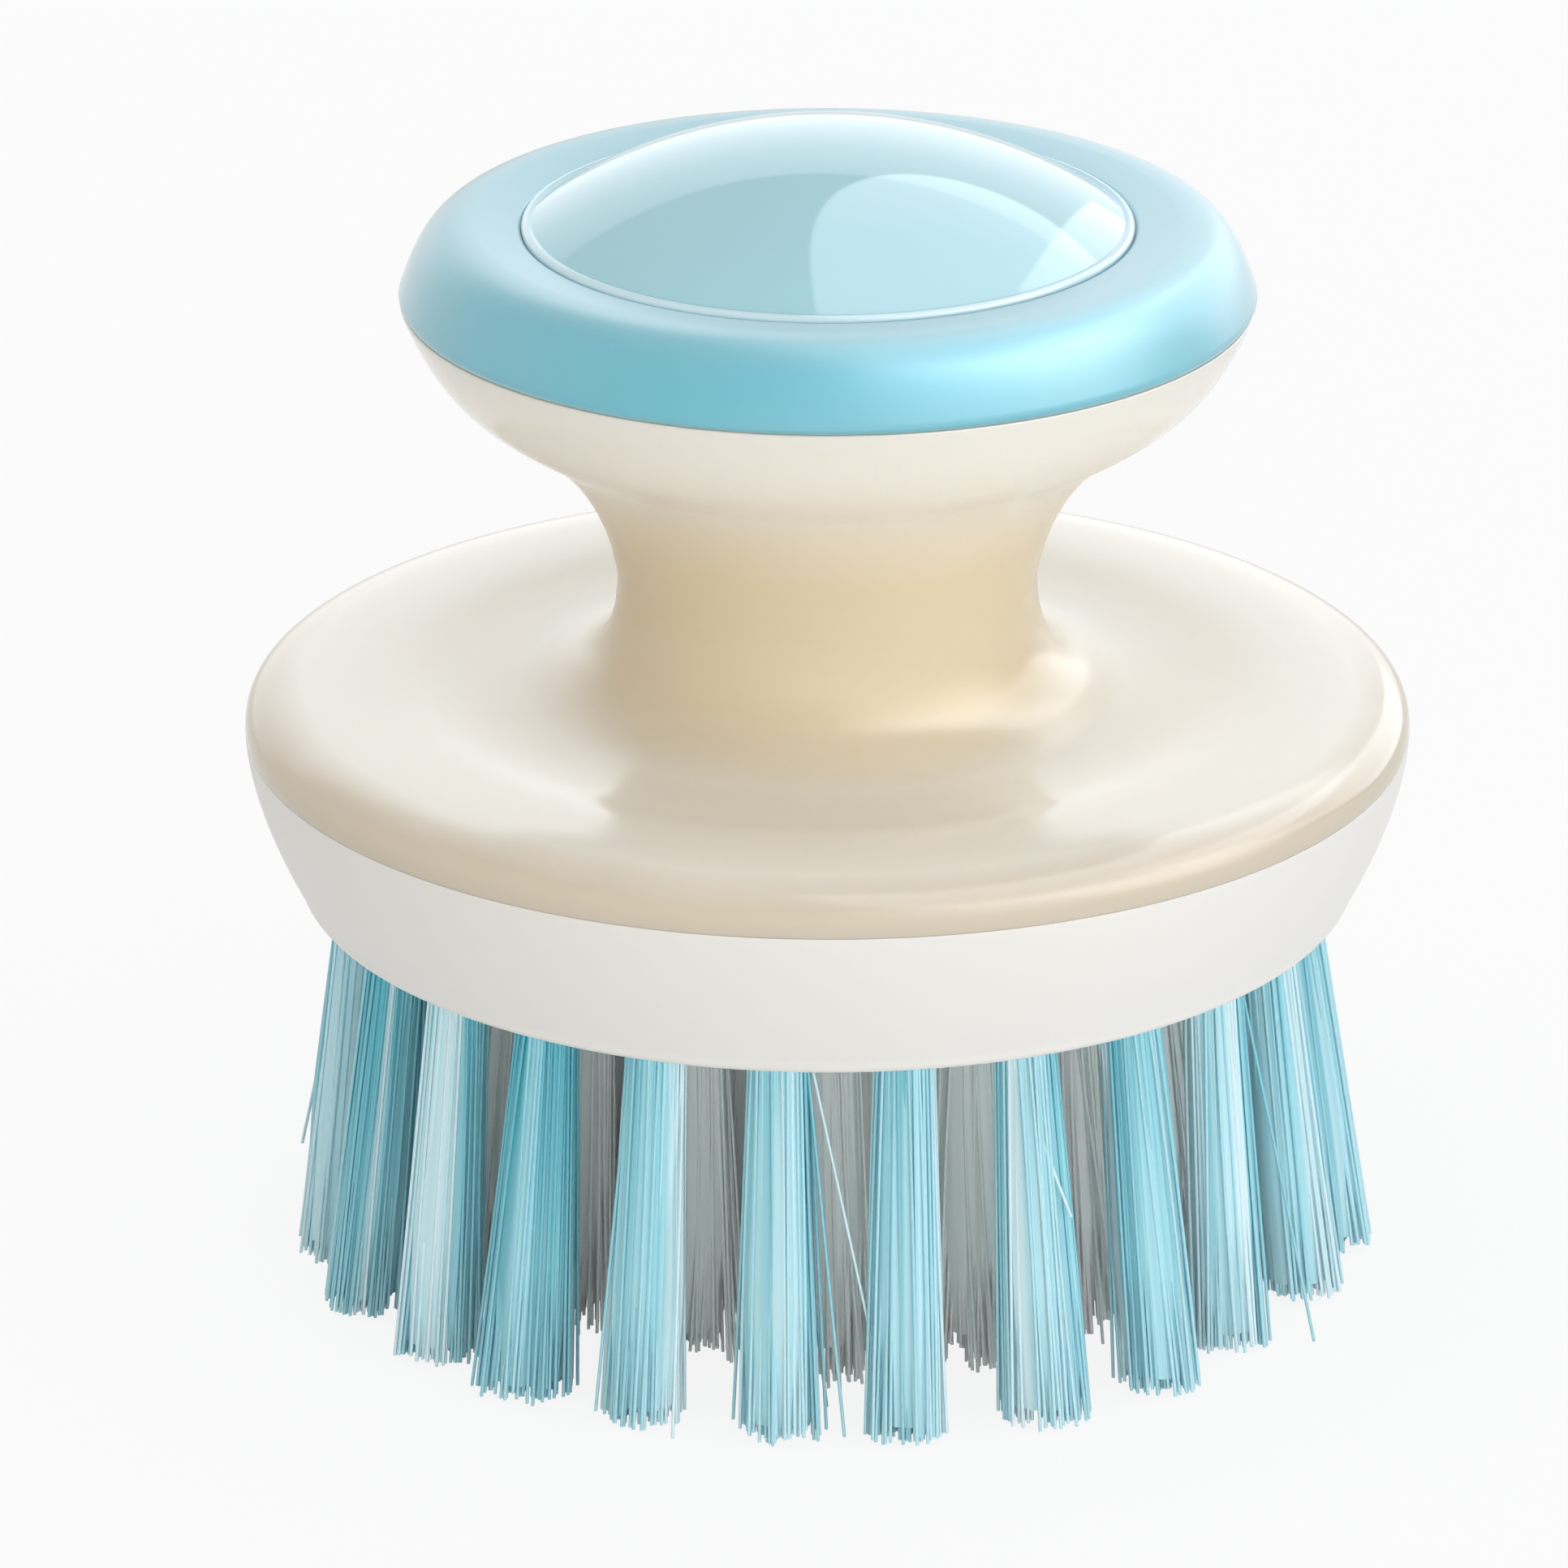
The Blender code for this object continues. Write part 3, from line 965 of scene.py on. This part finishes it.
@dataclass(frozen=True)
class Seat:
    """Where a tuft stands: the middle of its root's top, and of its tips."""

    node: str
    top: Vector
    tip: Vector

    @classmethod
    def of(cls, node: str) -> "Seat":
        """Read a seat from its CAD node.

        Args:
            node: the tuft's node.

        Returns:
            The seat.
        """
        points = [vert.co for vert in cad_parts[node].data.vertices]
        low, high = (pick(point.z for point in points) for pick in (min, max))
        top = cls._middle([point for point in points if high - point.z < LEVEL_WITHIN])
        tip = cls._middle([point for point in points if point.z - low < LEVEL_WITHIN])
        return cls(node, top, tip)

    @staticmethod
    def _middle(points: list[Vector]) -> Vector:
        """The middle of some points' box."""
        low, high = (Vector(pick(axis) for axis in zip(*points)) for pick in (min, max))
        return (low + high) / 2

    def at(self, height: float) -> Vector:
        """The point of the tuft's leaning axis at a height."""
        return self.top.lerp(self.tip, (self.top.z - height) / (self.top.z - self.tip.z))


@dataclass
class BrushBlock(Moulding):
    """The white block, a tray with a thick floor that holds the tufts."""

    name: str = "brush_block_skin"
    node: str = "brush_block"
    closed: bool = False
    seats: list[Seat] = field(default_factory=list)
    flank_taper: float = 0.0042
    flank_power: float = 1.63
    face_round: float = 0.0009
    tray_wall: float = 0.0025
    floor_rise: float = 0.0087
    hole_radius: float = 0.00258
    hole_depth: float = 0.0063
    mouth_break: float = 0.0002
    hole_sides: int = 28
    seam_round: float = 0.00004
    flank_steps: int = 24
    edge_steps: int = 8

    def seam_edge(self) -> Point:
        """The outer edge that meets the handle shell."""
        return (self.stack.base_radius, self.stack.seam_z - self.seam / 2)

    def outline(self) -> list[Point]:
        """Across the tray and its wall, down the bowed flank and across the tuft face.

        Returns:
            The open outline, both ends on the axis.
        """
        stack = self.stack
        height = stack.seam_z - stack.face_z
        low = self.face_round / height
        flank = []
        for step in range(self.flank_steps + 1):
            drop = (1 - low) * step / self.flank_steps
            radius = stack.base_radius - self.flank_taper * drop ** self.flank_power
            flank.append((radius, stack.seam_z - height * drop))
        flank[0] = self.seam_edge()
        centre = (flank[-1][0] - self.face_round, stack.face_z + self.face_round)
        edge = arc(centre, (self.face_round, self.face_round), 0, -90, self.edge_steps)[1:]
        tray_radius = stack.base_radius - self.tray_wall
        floor_z = stack.face_z + self.floor_rise
        tray = [(0.0, floor_z), (tray_radius, floor_z), (tray_radius, self.seam_edge()[1])]
        return tray + flank + edge + [(0.0, stack.face_z)]

    def softened(self) -> list[Softened]:
        """The edge of the seam."""
        return [Softened(*self.seam_edge(), self.seam_round)]

    def drill(self) -> bpy.types.Mesh:
        """One hole's cutter, its mouth flared, standing at the origin with the face at height 0.

        Returns:
            The cutter's mesh.
        """
        flare = self.mouth_break * 2
        outline = [
            (0.0, self.hole_depth),
            (self.hole_radius, self.hole_depth),
            (self.hole_radius, self.mouth_break),
            (self.hole_radius + flare, self.mouth_break - flare),
            (0.0, self.mouth_break - flare),
        ]
        return new_mesh("drill", turned_body(outline, self.hole_sides))

    def drills(self) -> bpy.types.Object:
        """Every hole's cutter, each leaning with its tuft.

        Returns:
            The cutters as one object.
        """
        one = self.drill()
        bm = bmesh.new()
        for seat in self.seats:
            start = len(bm.verts)
            bm.from_mesh(one)
            bm.verts.ensure_lookup_table()
            for vert in bm.verts[start:]:
                height = self.stack.face_z + vert.co.z
                vert.co = seat.at(height) + Vector((vert.co.x, vert.co.y, 0.0))
        return in_scene("drills", new_mesh("drills", bm))

    def build(self) -> list[bpy.types.Object]:
        """Turn the block and drill its holes.

        Returns:
            The block's one piece.
        """
        blank = in_scene("blank", new_mesh("blank", self.turned()))
        drills = self.drills()
        cut = blank.modifiers.new("holes", "BOOLEAN")
        cut.operation = "DIFFERENCE"
        cut.object = drills
        graph = bpy.context.evaluated_depsgraph_get()
        mesh = bpy.data.meshes.new_from_object(blank.evaluated_get(graph))
        for spent in (blank, drills):
            bpy.data.objects.remove(spent, do_unlink=True)
        return [make_piece(self.name, mesh, self.finish, [self.node])]


@dataclass(frozen=True)
class Strand:
    """One strand: straight in its hole, then a bend from the mouth to the tip."""

    top: Vector
    mouth: Vector
    bend: Vector
    tip: Vector
    tone: float

    def rings(self, stretches: int) -> list[Vector]:
        """Middles of the strand's rings, from the top of the root to the tip.

        Args:
            stretches: how many stretches the strand has, the first of them in the hole.

        Returns:
            One point for each ring.
        """
        points = [self.top]
        for step in range(stretches):
            t = step / (stretches - 1)
            points.append(self.mouth * (1 - t) ** 2 + self.bend * (2 * t * (1 - t)) + self.tip * t ** 2)
        return points


@dataclass(frozen=True)
class Heart:
    """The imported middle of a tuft, where strands lie too close together to be told apart."""

    middles: list[Vector]
    radii: list[float]
    swells: list[float]
    tones: list[float]
    reach: float


@dataclass
class StrandBundle:
    """Strands of one thickness round a packed heart, gathered into one mesh."""

    strands: list[Strand]
    heart: Heart
    diameter: float = 0.00026
    sides: int = 5
    stretches: int = 6

    @staticmethod
    def rod(radius: float, sides: int, stretches: int) -> bpy.types.Mesh:
        """A closed upright rod of length 1, hanging from the origin.

        Args:
            radius: its radius.
            sides: how many sides it has.
            stretches: how many stretches its length is cut into.

        Returns:
            The mesh that strands and hearts are bent from.
        """
        bm = bmesh.new()
        bmesh.ops.create_cone(bm, cap_ends=True, segments=sides, radius1=radius, radius2=radius,
                              depth=1.0, matrix=Matrix.Translation((0.0, 0.0, -0.5)))
        long = [edge for edge in bm.edges if abs(edge.verts[0].co.z - edge.verts[1].co.z) > 0.5]
        bmesh.ops.subdivide_edges(bm, edges=long, cuts=stretches - 1)
        return new_mesh("rod", bm)

    def mesh(self, name: str) -> bpy.types.Mesh:
        """Bend a copy of the rod along each strand, and one round the heart.

        Args:
            name: the mesh's name.

        Returns:
            The mesh, with each point's tone and its place along the tuft.
        """
        rod = self.rod(self.diameter / 2, self.sides, self.stretches)
        size = len(rod.vertices)
        bm = bmesh.new()
        for _ in self.strands:
            bm.from_mesh(rod)
        tone = bm.verts.layers.float.new("tone")
        along = bm.verts.layers.float.new("along")
        rings: list[Vector] = []
        for index, vert in enumerate(bm.verts):
            strand = self.strands[index // size]
            if index % size == 0:
                rings = strand.rings(self.stretches)
            ring = round(-vert.co.z * self.stretches)
            vert[tone] = strand.tone
            vert[along] = ring / self.stretches
            vert.co = rings[ring] + Vector((vert.co.x, vert.co.y, 0.0))
        self._add_heart(bm)
        bpy.data.meshes.remove(rod)
        return new_mesh(name, bm)

    def _add_heart(self, bm: bmesh.types.BMesh) -> None:
        """Add the heart, fluted like the strands that it stands for.

        Args:
            bm: the tuft's mesh, with its layers made.
        """
        heart = self.heart
        sides = len(heart.tones)
        stretches = len(heart.middles) - 1
        rod = self.rod(1.0, sides, stretches)
        start = len(bm.verts)
        bm.from_mesh(rod)
        bpy.data.meshes.remove(rod)
        tone = bm.verts.layers.float["tone"]
        along = bm.verts.layers.float["along"]
        bm.verts.ensure_lookup_table()
        for vert in bm.verts[start:]:
            ring = round(-vert.co.z * stretches)
            side = round(math.atan2(vert.co.y, vert.co.x) / math.tau * sides) % sides
            reach = heart.radii[ring] * heart.swells[side]
            vert[tone] = heart.tones[side]
            vert[along] = heart.reach * ring / stretches
            vert.co = heart.middles[ring] + Vector((vert.co.x * reach, vert.co.y * reach, 0.0))


@dataclass(frozen=True)
class Cut:
    """How a kind of tuft is packed, spread and trimmed."""

    strands: int
    root_radius: float = 0.00215
    root_sink: float = 0.0058
    flare: float = 1.45
    flare_swing: float = 0.07
    lean_swing: float = 0.0008
    locks: int = 9
    gather: float = 0.16
    lock_sway: float = 0.00045
    strand_sway: float = 0.00025
    strays: int = 3
    stray_sway: float = 0.0024
    bow: float = 0.00035
    trim: float = 0.0006
    lock_tone: float = 0.30
    strand_tone: float = 0.10
    heart_sides: int = 48
    heart_stretches: int = 10
    heart_reach: float = 0.95
    heart_fill: float = 0.92
    heart_taper: float = 0.82
    heart_shoulder: float = 0.7
    heart_flute: float = 0.04
    heart_wobble: float = 0.03


OUTER_CUT = Cut(strands=150)
INNER_CUT = Cut(strands=100, locks=6, lock_sway=0.0008, strand_sway=0.0008, bow=0.0008, trim=0.0012,
                heart_flute=0.015, heart_reach=0.90, heart_taper=0.6)


@dataclass(frozen=True)
class Lock:
    """Strands of a tuft that sway together."""

    middle: Vector
    sway: Vector
    tone: float
    trim: float


@dataclass(frozen=True)
class Stray:
    """A strand that leaves its tuft: where it starts and ends, level from the tuft's axis."""

    start: Point
    end: Point
    reach: float = 1.0
    tone: float = 1.0


@dataclass
class Tuft:
    """One tuft of strands in its seat."""

    seat: Seat
    face_z: float
    cut: Cut
    name: str
    finish: Finish
    slot: Slot
    strays: tuple[Stray, ...] = ()
    dice: random.Random = field(init=False)
    lean: Vector = field(init=False)
    flare: float = field(init=False)
    locks: list[Lock] = field(init=False)

    def __post_init__(self) -> None:
        """Settle what makes this tuft unlike the next."""
        cut = self.cut
        self.dice = random.Random(self.name)
        self.lean = self._sway(cut.lean_swing)
        self.flare = cut.flare * (1 + self.dice.gauss(0, cut.flare_swing))
        turn = Matrix.Rotation(self.dice.uniform(0, math.tau), 3, "Z")
        self.locks = [self._lock(turn @ point) for point in self._spiral(cut.locks)]

    def _sway(self, size: float) -> Vector:
        """A level step in any direction, mostly shorter than a size."""
        return Vector((self.dice.gauss(0, size / 2), self.dice.gauss(0, size / 2), 0.0))

    def _lock(self, middle: Vector) -> Lock:
        """Make a lock, with its own sway, tone and trim.

        Args:
            middle: its middle in the root, level from the tuft's axis.

        Returns:
            The lock.
        """
        sway = self.lean + self._sway(self.cut.lock_sway)
        tone = self.dice.gauss(0.5, self.cut.lock_tone)
        return Lock(middle, sway, tone, abs(self.dice.gauss(0, self.cut.trim / 2)))

    def _spiral(self, count: int) -> list[Vector]:
        """Points spread evenly over the tuft's root.

        Args:
            count: how many.

        Returns:
            The points, level, round the origin.
        """
        golden = math.pi * (3 - math.sqrt(5))
        points = []
        for index in range(count):
            reach = self.cut.root_radius * math.sqrt((index + 0.5) / count)
            turn = index * golden
            points.append(Vector((reach * math.cos(turn), reach * math.sin(turn), 0.0)))
        return points

    def _nearest(self, point: Vector) -> Lock:
        """The lock that a point of the root belongs to."""
        return min(self.locks, key=lambda lock: (lock.middle - point).length)

    def _tone(self, lock: Lock) -> float:
        """A tone near a lock's own, from 0 to 1."""
        return min(max(lock.tone + self.dice.gauss(0, self.cut.strand_tone), 0.0), 1.0)

    def strands(self) -> list[Strand]:
        """Place the tuft's strands, gathered in locks that sway together.

        Returns:
            The strands.
        """
        cut = self.cut
        outer_third = range(cut.strands * 2 // 3, cut.strands)
        loose = set(self.dice.sample(outer_third, cut.strays))
        made = []
        for index, point in enumerate(self._spiral(cut.strands)):
            lock = self._nearest(point)
            tip = (point + (lock.middle - point) * cut.gather) * self.flare
            tip += lock.sway + self._sway(cut.stray_sway if index in loose else cut.strand_sway)
            tip_z = self.seat.tip.z + lock.trim + abs(self.dice.gauss(0, cut.trim / 2))
            made.append(self._strand(point, tip, tip_z, self._tone(lock)))
        return made + [self._stray(stray) for stray in self.strays]

    def _strand(self, root: Vector, tip: Vector, tip_z: float, tone: float) -> Strand:
        """Lay one strand.

        Args:
            root: where it leaves the hole, level from the tuft's axis.
            tip: where it ends, level from the axis.
            tip_z: the height of its end.
            tone: how pale it is.

        Returns:
            The strand.
        """
        mouth = self.seat.at(self.face_z) + root
        end = self.seat.at(tip_z) + tip
        bend = mouth.lerp(end, 0.5) + self._sway(self.cut.bow)
        return Strand(self.seat.at(self.face_z + self.cut.root_sink) + root, mouth, bend, end, tone)

    def _stray(self, stray: Stray) -> Strand:
        """Lay a strand that leaves the tuft."""
        tip_z = self.face_z + (self.seat.tip.z - self.face_z) * stray.reach
        return self._strand(Vector((*stray.start, 0.0)), Vector((*stray.end, 0.0)), tip_z, stray.tone)

    def heart(self) -> Heart:
        """Shape the tuft's packed middle, which ends a little short of the tips.

        Returns:
            The heart.
        """
        cut = self.cut
        length = self.face_z - self.seat.tip.z
        radius = cut.root_radius * cut.heart_fill
        middles = [self.seat.at(self.face_z + cut.root_sink / 2)]
        radii = [radius]
        for step in range(cut.heart_stretches):
            share = step / (cut.heart_stretches - 1)
            t = share * cut.heart_reach
            drawn_in = max(0.0, share - cut.heart_shoulder) / (1 - cut.heart_shoulder)
            taper = 1 - (1 - cut.heart_taper) * drawn_in
            middles.append(self.seat.at(self.face_z - length * t) + self.lean * t)
            radii.append(radius * (1 + (self.flare - 1) * t) * taper)
        swells = []
        tones = []
        for side in range(cut.heart_sides):
            turn = math.tau * side / cut.heart_sides
            rim = Vector((math.cos(turn), math.sin(turn), 0.0)) * cut.root_radius
            flute = cut.heart_flute if side % 2 else -cut.heart_flute
            tones.append(self._tone(self._nearest(rim)))
            swells.append(1 + flute + self.dice.uniform(-cut.heart_wobble, cut.heart_wobble))
        return Heart(middles, radii, swells, tones, cut.heart_reach)

    def build(self) -> bpy.types.Object:
        """Make the tuft's piece."""
        mesh = StrandBundle(self.strands(), self.heart()).mesh(self.name)
        return make_piece(self.name, mesh, self.finish, [self.seat.node], sharp_deg=80.0)


@dataclass(frozen=True)
class Row:
    """One ring of tufts, named after its CAD nodes."""

    prefix: str
    cut: Cut
    finish: Finish
    slot: Slot

    def seats(self) -> list[Seat]:
        """The row's seats, in the order of their nodes' names."""
        return [Seat.of(node) for node in sorted(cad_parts) if node.startswith(self.prefix)]


@dataclass
class BristleField:
    """All the tufts of the brush."""

    stack: Stack
    rows: list[Row] = field(default_factory=lambda: [
        Row("outer_tuft", OUTER_CUT, BLUE_NYLON, Slot.BLUE_BRISTLE),
        *(Row(prefix, INNER_CUT, CREAM_NYLON, Slot.CREAM_BRISTLE)
          for prefix in ("second_tuft", "third_tuft", "inner_tuft")),
    ])
    strays: dict[str, tuple[Stray, ...]] = field(default_factory=lambda: {
        "outer_bristles_24": (Stray((0.0021, -0.0003), (0.0086, -0.0006)),),
        "outer_bristles_02": (Stray((-0.0012, -0.0018), (0.0028, -0.0020), 0.45),),
    })

    def seats(self) -> list[Seat]:
        """Every tuft's seat."""
        return [seat for row in self.rows for seat in row.seats()]

    def build(self) -> list[bpy.types.Object]:
        """Make every tuft.

        Returns:
            One piece for each.
        """
        pieces = []
        for row in self.rows:
            for seat in row.seats():
                name = seat.node.replace("tuft", "bristles")
                strays = self.strays.get(name, ())
                tuft = Tuft(seat, self.stack.face_z, row.cut, name, row.finish, row.slot, strays)
                pieces.append(tuft.build())
        return pieces


@dataclass(frozen=True)
class Softbox:
    """A flat studio lamp that faces a point. It fills the shapes with light, or shines on gloss."""

    name: str
    place: Place
    width: float
    height: float
    radiance: float
    colour: Colour = (0.93, 0.98, 1.04)
    aim: Place = (0.0, 0.0, 0.05)
    oval: bool = False
    roll_deg: float = 0.0
    spread_deg: float = 180.0
    shines: bool = False

    def build(self) -> None:
        """Hang the lamp. A narrow spread lets it fade towards its edges."""
        half = math.radians(self.spread_deg) / 2
        lamp = bpy.data.lights.new(self.name, "AREA")
        lamp.shape = "ELLIPSE" if self.oval else "RECTANGLE"
        lamp.size = self.width
        lamp.size_y = self.height
        lamp.spread = 2 * half
        area = self.width * self.height * (math.pi / 4 if self.oval else 1.0)
        lamp.energy = self.radiance * math.pi * area * (1 - half / math.tan(half))
        lamp.color = self.colour
        hung = in_scene(self.name, lamp)
        hung.location = self.place
        away = Vector(self.place) - Vector(self.aim)
        roll = Quaternion((0.0, 0.0, 1.0), math.radians(self.roll_deg))
        hung.rotation_euler = (away.to_track_quat("Z", "Y") @ roll).to_euler()
        hung.visible_camera = False
        hung.visible_diffuse = not self.shines
        hung.visible_glossy = self.shines


@dataclass
class Studio:
    """White paper, soft boxes and a dim warm room."""

    floor_size: float = 6.0
    skyline: Colour = (0.24, 0.225, 0.205)
    walls: Colour = (0.15, 0.138, 0.122)
    ceiling: Colour = (0.42, 0.40, 0.37)
    wall_rise: float = 0.28
    ceiling_rise: float = 0.85
    slant: Place = (0.12, 0.20, 0.0)
    boxes: tuple[Softbox, ...] = (
        Softbox("key_shine", (0.52, 0.30, 0.90), 1.12, 2.10, 1.9, (0.90, 0.97, 1.06), (0.52, 0.30, 0.0),
                oval=True, shines=True),
        Softbox("right_shine", (0.93, -0.19, 0.66), 1.7, 1.2, 4.8, (1.05, 0.98, 0.96), (0.0, 0.0, 0.06),
                spread_deg=62.0, shines=True),
        Softbox("wedge_shine", (0.80, 0.585, 0.56), 0.80, 1.6, 1.6, aim=(0.0, 0.0, 0.08),
                roll_deg=43.0, shines=True),
        Softbox("back_shine", (0.15, 1.05, 0.34), 2.6, 1.0, 1.1, aim=(0.0, 0.0, 0.08),
                spread_deg=110.0, shines=True),
        Softbox("front_shine", (0.60, -0.75, 0.80), 1.6, 1.6, 2.6, aim=(0.0, 0.0, 0.06),
                spread_deg=64.0, shines=True),
        Softbox("top_fill", (0.05, 0.15, 0.95), 1.4, 1.4, 1.6, (0.92, 0.97, 1.05), (0.05, 0.15, 0.0),
                spread_deg=90.0),
        Softbox("back_fill", (-0.10, 1.10, 0.45), 1.3, 0.6, 1.0),
        Softbox("right_fill", (1.02, -0.27, 0.30), 0.90, 0.44, 1.2, (0.94, 0.98, 1.03)),
        Softbox("left_fill", (-1.00, -0.05, 0.40), 0.7, 0.5, 1.4, (1.0, 0.98, 0.94)),
        Softbox("front_fill", (0.08, -1.15, 0.22), 1.2, 0.40, 3.8, (1.0, 0.97, 0.92)),
        Softbox("corner_fill", (0.85, -0.85, 0.20), 0.7, 0.36, 3.4, (0.93, 0.98, 1.05)),
    )

    def floor(self) -> None:
        """Lay the paper."""
        bm = bmesh.new()
        bmesh.ops.create_grid(bm, x_segments=2, y_segments=2, size=self.floor_size / 2)
        mesh = new_mesh("paper_floor", bm)
        mesh.materials.append(StudioPaper().material())
        in_scene("paper_floor", mesh)

    def room(self) -> None:
        """Light the room: white where it is seen, dim and warm where it only lights."""
        world = bpy.data.worlds.new("room")
        world.use_nodes = True
        bpy.context.scene.world = world
        recipe = Recipe(world.node_tree)
        way = recipe.node("ShaderNodeTexCoord", output="Generated")
        rise = recipe.node("ShaderNodeSeparateXYZ", feeds={0: way}, output="Z")
        stops = ((0.0, self.skyline), (self.wall_rise, self.walls), (self.ceiling_rise, self.ceiling))
        tone = recipe.ramp(rise, stops)
        dot = {"operation": "DOT_PRODUCT"}
        tilt = recipe.node("ShaderNodeVectorMath", dot, {0: way, 1: self.slant}, "Value")
        dim = recipe.node("ShaderNodeBackground", feeds={"Color": tone, "Strength": 1.0 + tilt})
        white = recipe.node("ShaderNodeBackground", feeds={"Color": WHITE, "Strength": 1.0})
        recipe.close(recipe.mix(seen_directly(recipe), dim, white), "ShaderNodeOutputWorld")

    def build(self) -> None:
        """Set the whole studio up."""
        self.floor()
        self.room()
        for box in self.boxes:
            box.build()
        bpy.context.scene.view_settings.view_transform = "Standard"


@dataclass
class PhotoCamera:
    """The camera of the photograph."""

    distance: float = 0.700
    elevation_deg: float = 21.53
    aim: Place = (-0.0032, 0.0, 0.0354)
    lens_mm: float = 216.6
    sensor_mm: float = 36.0

    def build(self) -> None:
        """Put the camera in place."""
        data = bpy.data.cameras.new("photo_camera")
        data.lens = self.lens_mm
        data.sensor_width = self.sensor_mm
        rise = math.radians(self.elevation_deg)
        back = Vector((0.0, -math.cos(rise), math.sin(rise)))
        camera = in_scene("photo_camera", data)
        camera.location = Vector(self.aim) + back * self.distance
        camera.rotation_euler = back.to_track_quat("Z", "Y").to_euler()
        bpy.context.scene.camera = camera


def main() -> None:
    """Dress the brush, then set the studio and the camera up."""
    logging.basicConfig(level=logging.INFO, format="%(message)s")
    stack = Stack.from_frame()
    ring = GripRing(stack)
    bristles = BristleField(stack)
    assemblies = (
        BrushBlock(stack, seats=bristles.seats()),
        HandleShell(stack),
        PalmDome(stack, opening_radius=ring.inner_radius(), lip_z=ring.lip_z()),
        ring,
        bristles,
    )
    for assembly in assemblies:
        for piece in assembly.build():
            LOG.info("%s: %d faces", piece.name, len(piece.data.polygons))
    Studio().build()
    PhotoCamera().build()


if __name__ == "__main__":
    main()
